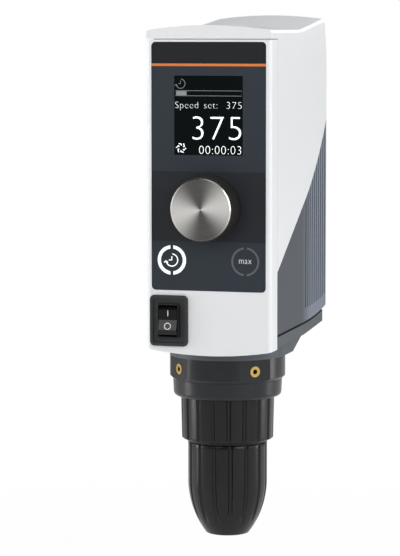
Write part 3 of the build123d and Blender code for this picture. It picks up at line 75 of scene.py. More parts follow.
def tone(red, green, blue):
    """Linear colour from the 0 to 255 values of a screen colour."""
    channels = []
    for value in (red, green, blue):
        share = value / 255
        channels.append(share / 12.92 if share <= 0.04045 else ((share + 0.055) / 1.055) ** 2.4)
    return (*channels, 1.0)


def scaled(color, factor):
    """Colour made lighter or darker by a factor."""
    return tuple(min(1.0, channel * factor) for channel in color[:3]) + (1.0,)


def link_object(name, data):
    """New object in the scene's collection."""
    piece = bpy.data.objects.new(name, data)
    bpy.context.scene.collection.objects.link(piece)
    return piece


def mesh_piece(name, verts, faces, material):
    """Mesh piece from points in metres."""
    mesh = bpy.data.meshes.new(name)
    mesh.from_pydata(verts, [], faces)
    mesh.materials.append(material)
    mesh.update()
    return link_object(name, mesh)


def bake(piece, name=None):
    """Plain mesh object in place of a text, a curve or an object with modifiers."""
    bpy.context.view_layer.update()
    graph = bpy.context.evaluated_depsgraph_get()
    mesh = bpy.data.meshes.new_from_object(piece.evaluated_get(graph), depsgraph=graph)
    mesh.transform(piece.matrix_world)
    label = name or piece.name
    bpy.data.objects.remove(piece)
    mesh.name = label
    return link_object(label, mesh)


def seat(piece, body):
    """A piece rides on a body."""
    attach(piece, body)
    return piece


def dress(names, material):
    """A finish on solids of the frame."""
    for name in names:
        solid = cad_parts[name]
        for place in solid.material_slots:
            place.link = "OBJECT"
            place.material = material


# Shader building


def put(tree, kind, **values):
    """New node whose attributes are set by name."""
    node = tree.nodes.new(kind)
    for key, value in values.items():
        setattr(node, key, value)
    return node


def join(tree, value, socket):
    """A number, a colour or another node's output goes into a socket."""
    if isinstance(value, bpy.types.NodeSocket):
        tree.links.new(value, socket)
    else:
        socket.default_value = value


def calc(tree, operation, *values):
    """Output of a Math node."""
    node = put(tree, "ShaderNodeMath", operation=operation)
    for index, value in enumerate(values):
        join(tree, value, node.inputs[index])
    return node.outputs[0]


def distance(tree, first, second):
    """Distance from the origin for two coordinates."""
    squares = [calc(tree, "MULTIPLY", side, side) for side in (first, second)]
    return calc(tree, "SQRT", calc(tree, "ADD", *squares))


def blend_colors(tree, mask, first, second):
    """Colour between two, by a mask."""
    node = put(tree, "ShaderNodeMix", data_type="RGBA")
    join(tree, mask, node.inputs[0])
    join(tree, first, node.inputs[6])
    join(tree, second, node.inputs[7])
    return node.outputs[2]


def group_tree(name, inputs, outputs):
    """Shader node group with named float inputs and typed outputs."""
    tree = bpy.data.node_groups.new(name, "ShaderNodeTree")
    for label, default in inputs:
        socket = tree.interface.new_socket(label, in_out="INPUT", socket_type="NodeSocketFloat")
        socket.default_value = default
    for label, kind in outputs:
        tree.interface.new_socket(label, in_out="OUTPUT", socket_type=kind)
    return tree, put(tree, "NodeGroupInput"), put(tree, "NodeGroupOutput")


def make_grain_group():
    """Fine moulded or cast grain: a mask, a roughness and a normal."""
    tree, given, result = group_tree(
        "fine_grain",
        [("Scale", 2500.0), ("Roughness", 0.5), ("Spread", 0.05), ("Bump", 0.1)],
        [
            ("Mask", "NodeSocketFloat"),
            ("Roughness", "NodeSocketFloat"),
            ("Normal", "NodeSocketVector"),
        ],
    )
    place = put(tree, "ShaderNodeTexCoord")
    noise = put(tree, "ShaderNodeTexNoise")
    tree.links.new(place.outputs["Object"], noise.inputs["Vector"])
    tree.links.new(given.outputs["Scale"], noise.inputs["Scale"])
    noise.inputs["Detail"].default_value = 3.0
    centred = calc(tree, "SUBTRACT", noise.outputs["Fac"], 0.5)
    spread = calc(tree, "MULTIPLY", calc(tree, "MULTIPLY", centred, 2.0), given.outputs["Spread"])
    rough = calc(tree, "ADD", given.outputs["Roughness"], spread)
    bump = put(tree, "ShaderNodeBump")
    bump.inputs["Distance"].default_value = 0.0002
    tree.links.new(given.outputs["Bump"], bump.inputs["Strength"])
    tree.links.new(noise.outputs["Fac"], bump.inputs["Height"])
    sharpen = put(tree, "ShaderNodeMapRange")
    sharpen.inputs["From Min"].default_value = 0.35
    sharpen.inputs["From Max"].default_value = 0.65
    tree.links.new(noise.outputs["Fac"], sharpen.inputs["Value"])
    tree.links.new(sharpen.outputs["Result"], result.inputs["Mask"])
    tree.links.new(rough, result.inputs["Roughness"])
    tree.links.new(bump.outputs["Normal"], result.inputs["Normal"])
    return tree


def make_handling_group():
    """Broad soft patches from handling and dust: a mask."""
    tree, given, result = group_tree(
        "handling", [("Scale", 25.0), ("Amount", 1.0)], [("Mask", "NodeSocketFloat")]
    )
    place = put(tree, "ShaderNodeTexCoord")
    noise = put(tree, "ShaderNodeTexNoise")
    tree.links.new(place.outputs["Object"], noise.inputs["Vector"])
    tree.links.new(given.outputs["Scale"], noise.inputs["Scale"])
    noise.inputs["Detail"].default_value = 4.0
    soft = put(tree, "ShaderNodeMapRange")
    soft.inputs["From Min"].default_value = 0.4
    soft.inputs["From Max"].default_value = 0.75
    tree.links.new(noise.outputs["Fac"], soft.inputs["Value"])
    mask = calc(tree, "MULTIPLY", soft.outputs["Result"], given.outputs["Amount"])
    tree.links.new(mask, result.inputs["Mask"])
    return tree


def new_material(name):
    """Material with an empty tree but for its shader and output."""
    material = bpy.data.materials.new(name)
    material.use_nodes = True
    tree = material.node_tree
    tree.nodes.clear()
    shader = put(tree, "ShaderNodeBsdfPrincipled")
    output = put(tree, "ShaderNodeOutputMaterial")
    tree.links.new(shader.outputs["BSDF"], output.inputs["Surface"])
    return material, tree, shader


def use_group(tree, name, **values):
    """Instance of a shader group with its own values."""
    node = put(tree, "ShaderNodeGroup", node_tree=bpy.data.node_groups[name])
    for key, value in values.items():
        node.inputs[key].default_value = value
    return node


def link_grain(tree, grain, shader):
    """Gloss and relief of the grain go into the shader."""
    tree.links.new(grain.outputs["Roughness"], shader.inputs["Roughness"])
    tree.links.new(grain.outputs["Normal"], shader.inputs["Normal"])


def object_axes(tree):
    """Object coordinates as X, Y and Z outputs."""
    place = put(tree, "ShaderNodeTexCoord")
    split = put(tree, "ShaderNodeSeparateXYZ")
    tree.links.new(place.outputs["Object"], split.inputs[0])
    return split.outputs


def surface(name, base, other, roughness, scale=2500.0, spread=0.04, bump=0.05, metallic=0.0,
            coat=0.0, specular=0.5, handled=0.5):
    """Finish with grain in its colour, gloss and relief, and with soft handling patches."""
    material, tree, shader = new_material(name)
    grain = use_group(
        tree, "fine_grain", Scale=scale, Roughness=roughness, Spread=spread, Bump=bump
    )
    patches = use_group(tree, "handling", Amount=handled)
    mask = calc(tree, "MULTIPLY", grain.outputs["Mask"], 0.6)
    mask = calc(tree, "ADD", mask, calc(tree, "MULTIPLY", patches.outputs["Mask"], 0.4))
    tree.links.new(blend_colors(tree, mask, base, other), shader.inputs["Base Color"])
    link_grain(tree, grain, shader)
    shader.inputs["Metallic"].default_value = metallic
    shader.inputs["Coat Weight"].default_value = coat
    shader.inputs["Specular IOR Level"].default_value = specular
    return material


def band_mask(tree, height, low, high):
    """1 between two heights in metres, 0 elsewhere."""
    above = calc(tree, "GREATER_THAN", height, low)
    return calc(tree, "MULTIPLY", above, calc(tree, "LESS_THAN", height, high))


def panel_material(props):
    """Printed front foil: three grey bands and the thin orange line."""
    material, tree, shader = new_material("front_foil")
    grain = use_group(tree, "fine_grain", Scale=4000.0, Roughness=0.42, Spread=0.03, Bump=0.03)
    height = object_axes(tree)["Z"]
    field = blend_colors(tree, grain.outputs["Mask"], tone(44, 50, 57), tone(48, 54, 61))
    knob_band = band_mask(tree, height, props.band_low, props.band_high)
    field = blend_colors(tree, knob_band, field, tone(36, 39, 43))
    top_band = calc(tree, "GREATER_THAN", height, props.line_height)
    field = blend_colors(tree, top_band, field, tone(27, 29, 32))
    half_line = props.line_width / 2
    line = band_mask(tree, height, props.line_height - half_line, props.line_height + half_line)
    field = blend_colors(tree, line, field, (*props.line_color, 1.0))
    tree.links.new(field, shader.inputs["Base Color"])
    link_grain(tree, grain, shader)
    shader.inputs["Specular IOR Level"].default_value = 0.2
    return material


def housing_material(grey, speck, props):
    """Textured dark moulding whose colour turns paler with depth towards the rear, over its ribs.
    """
    material, tree, shader = new_material("textured_grey")
    grain = use_group(tree, "fine_grain", Scale=1500.0, Roughness=0.6, Spread=0.1, Bump=0.5)
    patches = use_group(tree, "handling", Amount=0.12)
    specks = calc(tree, "MULTIPLY", grain.outputs["Mask"], 0.55)
    mask = calc(tree, "ADD", specks, patches.outputs["Mask"])
    # Colour ramps paler with depth towards the rear, between the two depth settings.
    rear_pale_ramp = put(tree, "ShaderNodeMapRange")
    tree.links.new(object_axes(tree)["Y"], rear_pale_ramp.inputs["Value"])
    rear_pale_ramp.inputs["From Min"].default_value = props.rub_start
    rear_pale_ramp.inputs["From Max"].default_value = props.rub_full
    paler = scaled(grey, 3.6)
    plain = blend_colors(tree, mask, grey, speck)
    rear_pale_tone = blend_colors(tree, mask, paler, scaled(paler, 1.25))
    tone_by_depth = blend_colors(tree, rear_pale_ramp.outputs["Result"], plain, rear_pale_tone)
    tree.links.new(tone_by_depth, shader.inputs["Base Color"])
    link_grain(tree, grain, shader)
    return material


def spun_material(props):
    """Spun metal: fine rings about the knob's axis, with two broad wedges of painted sheen in its
    colour, a painted reflection of a turned face.
    """
    material, tree, shader = new_material("spun_metal_painted_sheen")
    place = put(tree, "ShaderNodeTexCoord")
    shift = put(tree, "ShaderNodeMapping")
    center = (cap_low + cap_high) / 2
    shift.inputs["Location"].default_value = (-center.x, -center.y, -center.z)
    tree.links.new(place.outputs["Object"], shift.inputs["Vector"])
    split = put(tree, "ShaderNodeSeparateXYZ")
    tree.links.new(shift.outputs["Vector"], split.inputs[0])
    across, up = split.outputs["X"], split.outputs["Z"]
    radius = distance(tree, across, up)
    rings = put(tree, "ShaderNodeTexNoise", noise_dimensions="1D")
    tree.links.new(radius, rings.inputs["W"])
    rings.inputs["Scale"].default_value = props.ring_density
    rings.inputs["Detail"].default_value = 3.0
    # Painted reflection: bright wedges by angle round the knob's axis are painted into the colour;
    # the rings are real turning marks.
    angle = calc(tree, "ARCTAN2", up, across)
    turned = calc(tree, "SUBTRACT", angle, props.sheen_turn)
    wave = calc(tree, "COSINE", calc(tree, "MULTIPLY", turned, 2.0))
    painted_sheen_wave = calc(tree, "ADD", calc(tree, "MULTIPLY", wave, 0.5), 0.5)
    painted_sheen_lobes = calc(tree, "POWER", painted_sheen_wave, 1.3)
    marks = calc(tree, "MULTIPLY", calc(tree, "SUBTRACT", rings.outputs["Fac"], 0.5), 0.35)
    mask = calc(tree, "ADD", painted_sheen_lobes, marks)
    painted_sheen_color = blend_colors(tree, mask, tone(100, 99, 98), tone(250, 248, 244))
    tree.links.new(painted_sheen_color, shader.inputs["Base Color"])
    rough = calc(tree, "ADD", calc(tree, "MULTIPLY", rings.outputs["Fac"], 0.12), 0.26)
    tree.links.new(rough, shader.inputs["Roughness"])
    bump = put(tree, "ShaderNodeBump")
    bump.inputs["Strength"].default_value = 0.12
    bump.inputs["Distance"].default_value = 0.0001
    tree.links.new(rings.outputs["Fac"], bump.inputs["Height"])
    tree.links.new(bump.outputs["Normal"], shader.inputs["Normal"])
    shader.inputs["Metallic"].default_value = 1.0
    return material


def glow_material(name, color, strength, roughness=0.4):
    """Lit print or screen mark, brightest in its middle grain."""
    material, tree, shader = new_material(name)
    grain = use_group(tree, "fine_grain", Scale=5000.0, Roughness=roughness, Spread=0.03, Bump=0.0)
    lit = blend_colors(tree, grain.outputs["Mask"], scaled(color, 0.93), color)
    tree.links.new(lit, shader.inputs["Base Color"])
    tree.links.new(lit, shader.inputs["Emission Color"])
    tree.links.new(grain.outputs["Roughness"], shader.inputs["Roughness"])
    shader.inputs["Emission Strength"].default_value = strength
    return material


# Settings


def length_setting(name, description, default):
    """Setting in metres."""
    return FloatProperty(name=name, description=description, default=default, unit="LENGTH")


def angle_setting(name, description, default):
    """Setting in radians, shown in degrees."""
    return FloatProperty(name=name, description=description, default=default, subtype="ANGLE")


def color_setting(name, description, default):
    """Colour setting."""
    return FloatVectorProperty(
        name=name, description=description, subtype="COLOR", size=3, min=0, max=1,
        default=default[:3],
    )


class ShellSettings(bpy.types.PropertyGroup):
    """Pale shell and dark housing"""

    pale: color_setting("Pale shell", "Colour of frame and upper shell", tone(229, 231, 233))
    grey: color_setting("Grey housing", "Colour of the ribbed rear housing", tone(56, 61, 68))
    # Depths between which the housing's colour turns paler towards the rear.
    rub_start: length_setting("Rub start", "Depth where the ribs begin to look paler", 0.045)
    rub_full: length_setting("Rub full", "Depth where the ribs are palest", 0.07)
    gloss: FloatProperty(
        name="Shell roughness", description="Roughness of the pale shell", default=0.32,
        min=0.05, max=1,
    )


class PanelSettings(bpy.types.PropertyGroup):
    """Front foil"""

    line_height: length_setting("Line height", "Height of the orange line", 0.3215)
    line_width: length_setting("Line width", "Width of the orange line", 0.0017)
    line_color: color_setting("Line colour", "Colour of the thin line", tone(224, 122, 58))
    band_low: length_setting("Band low", "Lower edge of the darker band behind the knob", 0.2043)
    band_high: length_setting("Band high", "Upper edge of the darker band behind the knob", 0.2509)


class DisplaySettings(bpy.types.PropertyGroup):
    """Display and keys"""

    speed: IntProperty(
        name="Speed", description="Speed that the display shows", default=375, min=0, max=9999
    )
    clock: StringProperty(
        name="Timer", description="Time that the display shows", default="00:00:03"
    )
    glow: FloatProperty(
        name="Glow", description="Strength of the lit marks", default=0.75, min=0, max=5
    )
    relief: length_setting("Print relief", "Thickness of the marks", PRINT_RELIEF)


class KnobSettings(bpy.types.PropertyGroup):
    """Speed knob"""

    ring_density: FloatProperty(
        name="Ring density", description="Turning marks per metre of radius", default=2600.0, min=10
    )
    # Painted sheen: turn of the bright wedges painted into the knob face's colour.
    sheen_turn: angle_setting("Sheen turn", "Turn of the bright wedges of the spun face", 0.18)


class SwitchSettings(bpy.types.PropertyGroup):
    """Rocker of the mains switch"""

    rocker_pivot: FloatVectorProperty(
        name="Pivot", description="Depth and height of the rocker's pin", size=2, unit="LENGTH",
        default=(-0.0451, 0.1509),
    )
    rocker_tilt: angle_setting("Tilt", "Tilt of the rocker at rest", math.radians(7))
    middle_out: length_setting("Middle", "Reach of the rocker's middle from the pin", 0.0058)
    crest_out: length_setting("Crest", "Reach of the rocker's crests from the pin", 0.0066)
    crest_height: length_setting("Crest height", "Height of a crest from the middle", 0.0068)


class SleeveSettings(bpy.types.PropertyGroup):
    """Fluted sleeves of the chuck"""

    segments: IntProperty(
        name="Segments", description="Steps round a sleeve", default=720, min=90, max=1440
    )
    depth: length_setting("Flute depth", "Depth of a flute", 0.0013)
    width: length_setting("Flute width", "Half width of a flute", 0.00155)
    rear_count: IntProperty(
        name="Rear flutes", description="Flutes round the rear sleeve", default=18, min=3
    )
    front_count: IntProperty(
        name="Front flutes", description="Flutes round the front sleeve", default=15, min=3
    )
    phase: angle_setting("Phase", "Direction of the first flute", math.radians(-73))


class StageSettings(bpy.types.PropertyGroup):
    """Camera, lamps and floor"""

    camera_place: FloatVectorProperty(
        name="Camera", description="Place of the camera", size=3, subtype="TRANSLATION",
        unit="LENGTH", default=(0.4634, -1.6465, 0.3437),
    )
    camera_yaw: angle_setting("Yaw", "Turn of the camera to the left", math.radians(16.02))
    camera_pitch: angle_setting("Pitch", "Tilt of the camera", math.radians(-5.34))
    focal_pixels: FloatProperty(
        name="Focal length", description="Focal length in pixels of the picture", default=2515.0
    )
    shift_right: FloatProperty(
        name="Shift right", description="Shift of the picture in pixels", default=-14.53
    )
    shift_up: FloatProperty(
        name="Shift up", description="Shift of the picture in pixels", default=-11.8
    )
    floor_height: length_setting("Floor height", "Height of the floor under the chuck", -0.09)
    lamp_level: FloatProperty(
        name="Lamp level", description="Level of all the lamps", default=1.0, min=0
    )


# Finishes of the solids


class STIRRER_OT_shells(bpy.types.Operator):
    """Finish the pale shell, the dark ribbed housing and the gasket"""

    bl_idname = "stirrer.shells"
    bl_label = "Shells"

    def execute(self, context):
        props = context.scene.stirrer_shells
        pale = (*props.pale, 1.0)
        dress(["front_frame", "upper_shell", "top_plug"],
              surface("moulded_white", pale, scaled(pale, 0.95), props.gloss,
                      scale=3500.0, bump=0.02, handled=0.4))
        grey = (*props.grey, 1.0)
        dress(["rear_housing"], housing_material(grey, scaled(grey, 1.9), props))
        dress(["housing_gasket"],
              surface("soft_rubber", tone(22, 22, 23), tone(32, 32, 33), 0.8, bump=0.2))
        return {"FINISHED"}


class STIRRER_OT_castings(bpy.types.Operator):
    """Finish the arm, the collar with its inserts, the lower ring and the rod bush"""

    bl_idname = "stirrer.castings"
    bl_label = "Castings"

    def execute(self, context):
        dress(["arm_casting"],
              surface("cast_coating", tone(60, 65, 70), tone(80, 86, 92), 0.5,
                      scale=1800.0, bump=0.3))
        dress(["insert_collar", "lower_ring"],
              surface("turned_coating", tone(20, 22, 25), tone(30, 32, 36), 0.26,
                      specular=0.42, scale=3000.0, bump=0.1))
        dress(["threaded_inserts", "inlet_blades", "board_standoffs"],
              surface("turned_brass", tone(198, 164, 92), tone(222, 190, 120), 0.3, metallic=1.0))
        dress(["rod_bush", "case_screws"],
              surface("plated_steel", tone(170, 171, 174), tone(198, 199, 202), 0.32, metallic=1.0))
        return {"FINISHED"}


class STIRRER_OT_inner_parts(bpy.types.Operator):
    """Finish the drive, the spindle and the boards inside"""

    bl_idname = "stirrer.inner_parts"
    bl_label = "Inner parts"

    def execute(self, context):
        dress(["spindle", "spindle_nut", "bearing_outer_races", "bearing_inner_races",
               "bearing_retainer", "motor_can", "motor_bearings", "motor_rotor", "bridge_screws",
               "encoder_rotor", "knob_shaft", "rocker_pin", "jaw_nut"],
              surface("turned_steel", tone(160, 161, 164), tone(190, 191, 194), 0.3, metallic=1.0))
        dress(["jaw_1", "jaw_2", "jaw_3"],
              surface("ground_steel", tone(120, 121, 124), tone(150, 151, 154), 0.28, metallic=1.0))
        dress(["motor_bridge", "bridge_posts", "drive_pulley", "spindle_pulley", "bearing_spacer"],
              surface("milled_aluminium", tone(190, 192, 195), tone(210, 212, 215), 0.34,
                      metallic=1.0))
        dress(["motor_stator"],
              surface("stacked_sheets", tone(84, 78, 74), tone(100, 94, 90), 0.6, metallic=0.6))
        dress(["drive_belt", "spindle_seal"],
              surface("ribbed_rubber", tone(26, 26, 27), tone(38, 38, 39), 0.75, bump=0.2))
        dress(["power_board", "control_board", "touch_board"],
              surface("circuit_board", tone(22, 92, 58), tone(30, 108, 68), 0.45, scale=900.0))
        dress(["power_components", "display_module"],
              surface("component_black", tone(28, 28, 30), tone(40, 40, 42), 0.5))
        dress(["guide_tube", "encoder_body", "switch_body"],
              surface("inner_moulding", tone(30, 31, 33), tone(42, 43, 45), 0.5))
        return {"FINISHED"}


class STIRRER_OT_inlet(bpy.types.Operator):
    """Finish the mains inlet and its fuse drawer"""

    bl_idname = "stirrer.inlet"
    bl_label = "Mains inlet"

    def execute(self, context):
        dress(["mains_inlet", "fuse_drawer"],
              surface("inlet_moulding", tone(26, 27, 29), tone(40, 41, 43), 0.45, bump=0.15))
        return {"FINISHED"}


class STIRRER_OT_panel(bpy.types.Operator):
    """Finish the front foil, the display glass and the ring keys"""

    bl_idname = "stirrer.panel"
    bl_label = "Control panel"

    def execute(self, context):
        dress(["control_panel"], panel_material(context.scene.stirrer_panel))
        material, tree, shader = new_material("display_glass")
        grain = use_group(tree, "fine_grain", Scale=6000.0, Roughness=0.16, Spread=0.02, Bump=0.0)
        dark = blend_colors(tree, grain.outputs["Mask"], tone(5, 11, 13), tone(7, 14, 16))
        tree.links.new(dark, shader.inputs["Base Color"])
        tree.links.new(grain.outputs["Roughness"], shader.inputs["Roughness"])
        shader.inputs["Specular IOR Level"].default_value = 0.15
        dress(["display_window"], material)
        dress(["timer_key_ring"], glow_material("key_ring_lit", tone(240, 243, 245), 0.45))
        dress(["max_key_ring"],
              surface("key_ring_grey", tone(82, 86, 92), tone(94, 98, 104), 0.4))
        return {"FINISHED"}


def flat_text(name, text, material, width, height, left, base, thin=0.012, relief=PRINT_RELIEF):
    """Text on the head's front: its box from left and lower edges, its strokes made thinner."""
    curve = bpy.data.curves.new(name, "FONT")
    curve.body = text
    curve.size = 1.0
    curve.resolution_u = 6
    curve.offset = -thin
    curve.space_word = 1.5
    curve.space_character = 1.08
    writing = link_object(name, curve)
    plain = bake(writing)
    xs = [v.co.x for v in plain.data.vertices]
    ys = [v.co.y for v in plain.data.vertices]
    low_x, low_y = min(xs), min(ys)
    scale_x = width / (max(xs) - low_x)
    scale_y = height / (max(ys) - low_y)
    for v in plain.data.vertices:
        x = (v.co.x - low_x) * scale_x + left
        v.co = (x, FACE_Y - relief, (v.co.y - low_y) * scale_y + base)
    return raise_print(plain, material, "head", relief)


def raise_print(piece, material, body, relief):
    """A flat print facing the front gets its thickness, its finish and its body."""
    piece.data.materials.clear()
    piece.data.materials.append(material)
    shape = bmesh.new()
    shape.from_mesh(piece.data)
    bmesh.ops.remove_doubles(shape, verts=shape.verts, dist=1e-7)
    bmesh.ops.recalc_face_normals(shape, faces=shape.faces)
    for face in shape.faces:
        if face.normal.y > 0:
            face.normal_flip()
    made = bmesh.ops.extrude_face_region(shape, geom=shape.faces[:])
    front = [item for item in made["geom"] if isinstance(item, bmesh.types.BMVert)]
    bmesh.ops.translate(shape, verts=front, vec=(0, -relief, 0))
    bmesh.ops.recalc_face_normals(shape, faces=shape.faces)
    shape.to_mesh(piece.data)
    shape.free()
    return seat(piece, body)


def ring_points(center, radius, start, end, steps):
    """Points of an arc in the front plane, as (x, z), angles in degrees from +X towards +Z."""
    points = []
    for step in range(steps + 1):
        angle = math.radians(start + (end - start) * step / steps)
        points.append((center[0] + radius * math.cos(angle), center[1] + radius * math.sin(angle)))
    return points


def strokes(name, lines, width, material, body="head", y=FACE_Y, relief=PRINT_RELIEF):
    """Marks drawn as lines of one width in the front plane, each a list of (x, z) points."""
    verts, faces = [], []
    for line in lines:
        closed = math.dist(line[0], line[-1]) < 1e-9
        points = line[:-1] if closed else line
        count = len(points)
        first = len(verts)
        for index, (x, z) in enumerate(points):
            before = points[index - 1] if closed or index else points[0]
            after = points[(index + 1) % count] if closed or index < count - 1 else points[-1]
            along = Vector((after[0] - before[0], after[1] - before[1])).normalized()
            side = Vector((-along.y, along.x)) * width / 2
            verts += [(x + side.x, y - relief, z + side.y), (x - side.x, y - relief, z - side.y)]
        for index in range(count if closed else count - 1):
            a = first + 2 * index
            b = first + 2 * ((index + 1) % count)
            faces.append((a, a + 1, b + 1, b))
    return raise_print(mesh_piece(name, verts, faces, material), material, body, relief)


def on_display(share_x, share_z):
    """Place on the display from shares of its width and, from the top, of its height."""
    return (
        display_low.x + share_x * (display_high.x - display_low.x),
        display_high.z - share_z * (display_high.z - display_low.z),
    )


class STIRRER_OT_display_marks(bpy.types.Operator):
    """Lit marks of the display: bar, set speed, speed, timer and two signs"""

    bl_idname = "stirrer.display_marks"
    bl_label = "Display marks"

    def execute(self, context):
        props = context.scene.stirrer_display
        clock_width, rotor_width = 0.00036, 0.0006
        white = glow_material("screen_white", tone(250, 252, 252), props.glow)
        grey = glow_material("screen_grey", tone(120, 125, 127), props.glow * 0.5)
        wide = display_high.x - display_low.x
        tall = display_high.z - display_low.z

        def write(name, text, left, top, right, bottom, thin):
            x, z = on_display(left, bottom)
            size = ((right - left) * wide, (bottom - top) * tall)
            flat_text(name, text, white, *size, x, z, thin, relief=props.relief)

        write("set_speed_label", "Speed set:", 0.012, 0.328, 0.63, 0.436, 0.03)
        write("set_speed_value", str(props.speed), 0.765, 0.328, 0.985, 0.412, 0.03)
        write("speed_value", str(props.speed), 0.265, 0.512, 0.978, 0.806, 0.02)
        write("timer_value", props.clock, 0.365, 0.882, 0.978, 0.985, 0.025)
        left, top = on_display(0.018, 0.188)
        right, bottom = on_display(0.985, 0.252)
        frame_line = [(left, top), (right, top), (right, bottom), (left, bottom), (left, top)]
        strokes("bar_outline", [frame_line], 0.0003, grey)
        fill_right = on_display(0.18, 0)[0]
        middle = (top + bottom) / 2
        fill_line = [(left + 0.0004, middle), (fill_right, middle)]
        strokes("bar_fill", [fill_line], 0.8 * (top - bottom), grey)
        clock_center = on_display(0.092, 0.1)
        clock_sign("display_clock", clock_center, 0.0031, clock_width, grey, props.relief)
        fan_center = on_display(0.1, 0.912)
        blades = []
        for index in range(6):
            turn = 60 * index
            tip = ring_points(fan_center, 0.0034, turn, turn, 1)[0]
            hip = ring_points(fan_center, 0.0024, turn - 40, turn - 40, 1)[0]
            root = ring_points(fan_center, 0.0015, turn - 30, turn - 30, 1)[0]
            blades.append([root, hip, tip])
        strokes("display_rotor", blades, rotor_width, white)
        return {"FINISHED"}


def clock_sign(name, center, radius, width, material, relief):
    """Clock with an open ring, an arrow at its gap and two hands."""
    ring = ring_points(center, radius, 85, -172, 40)
    tip = ring[-1]
    arrow = [(tip[0] - 0.32 * radius, tip[1] - 0.3 * radius), tip,
             (tip[0] + 0.34 * radius, tip[1] - 0.28 * radius)]
    hands = [(center[0], center[1] + 0.6 * radius), center,
             (center[0] - 0.5 * radius, center[1])]
    strokes(name, [ring, hands, arrow], width, material, relief=relief)


class STIRRER_OT_key_signs(bpy.types.Operator):
    """Signs inside the two ring keys"""

    bl_idname = "stirrer.key_signs"
    bl_label = "Key signs"

    def execute(self, context):
        props = context.scene.stirrer_display
        low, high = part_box("timer_key_ring")
        center = ((low.x + high.x) / 2, (low.z + high.z) / 2)
        lit = glow_material("key_sign_lit", tone(240, 243, 245), 0.45)
        clock_sign("timer_sign", center, 0.0041, 0.0008, lit, props.relief)
        low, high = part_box("max_key_ring")
        pale = surface("key_sign_grey", tone(236, 238, 240), tone(244, 245, 247), 0.5)
        width, height = 0.0086, 0.0028
        left, base = (low.x + high.x - width) / 2, (low.z + high.z - height) / 2
        flat_text("max_sign", "max", pale, width, height, left, base)
        return {"FINISHED"}


class STIRRER_OT_knob(bpy.types.Operator):
    """Finish the speed knob"""

    bl_idname = "stirrer.knob"
    bl_label = "Speed knob"

    def execute(self, context):
        dress(["knob_cap"], spun_material(context.scene.stirrer_knob))
        dress(["knob_skirt"],
              surface("knob_coating", tone(50, 48, 47), tone(66, 63, 61), 0.34,
                      scale=3000.0, metallic=0.5))
        return {"FINISHED"}


class STIRRER_OT_switch(bpy.types.Operator):
    """Finish the mains switch and print its two marks on the rocker"""

    bl_idname = "stirrer.switch"
    bl_label = "Mains switch"

    def execute(self, context):
        props = context.scene.stirrer_switch
        dress(["switch_guard"],
              surface("guard_rubber", tone(30, 31, 33), tone(42, 43, 45), 0.55, bump=0.1))
        gloss = surface("gloss_black", tone(10, 11, 13), tone(15, 16, 18), 0.12,
                        bump=0.0, coat=0.1, specular=0.3)
        dress(["switch_bezel", "rocker"], gloss)
        white = surface("mark_white", tone(225, 226, 228), tone(235, 236, 238), 0.5)
        low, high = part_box("rocker")
        center_x = (low.x + high.x) / 2
        pivot = Vector((center_x, *props.rocker_pivot))
        turn = Matrix.Rotation(-props.rocker_tilt, 4, "X")
        tilt = Matrix.Translation(pivot) @ turn @ Matrix.Translation(-pivot)
        marks = {
            "switch_on_mark": [[(center_x, pivot.z + 0.0024), (center_x, pivot.z + 0.0064)]],
            "switch_off_mark": [ring_points((center_x, pivot.z - 0.0042), 0.0021, 0, 360, 32)],
        }
        lean = (props.crest_out - props.middle_out) / props.crest_height
        for name, lines in marks.items():
            sign = strokes(name, lines, 0.0005, white, body="rocker", y=0.0)
            for v in sign.data.vertices:
                out = props.middle_out + lean * abs(v.co.z - pivot.z) + 0.00002 - v.co.y
                v.co = tilt @ Vector((v.co.x, pivot.y - out, v.co.z))
        return {"FINISHED"}


# Fluted sleeves, turned and grooved by Geometry Nodes


def geometry_tree(name, inputs):
    """Geometry node tree with a geometry in and out and further named inputs."""
    tree = bpy.data.node_groups.new(name, "GeometryNodeTree")
    tree.interface.new_socket("Geometry", in_out="INPUT", socket_type="NodeSocketGeometry")
    for label, kind, default in inputs:
        socket = tree.interface.new_socket(label, in_out="INPUT", socket_type=kind)
        if default is not None:
            socket.default_value = default
    tree.interface.new_socket("Geometry", in_out="OUTPUT", socket_type="NodeSocketGeometry")
    return tree, put(tree, "NodeGroupInput"), put(tree, "NodeGroupOutput")


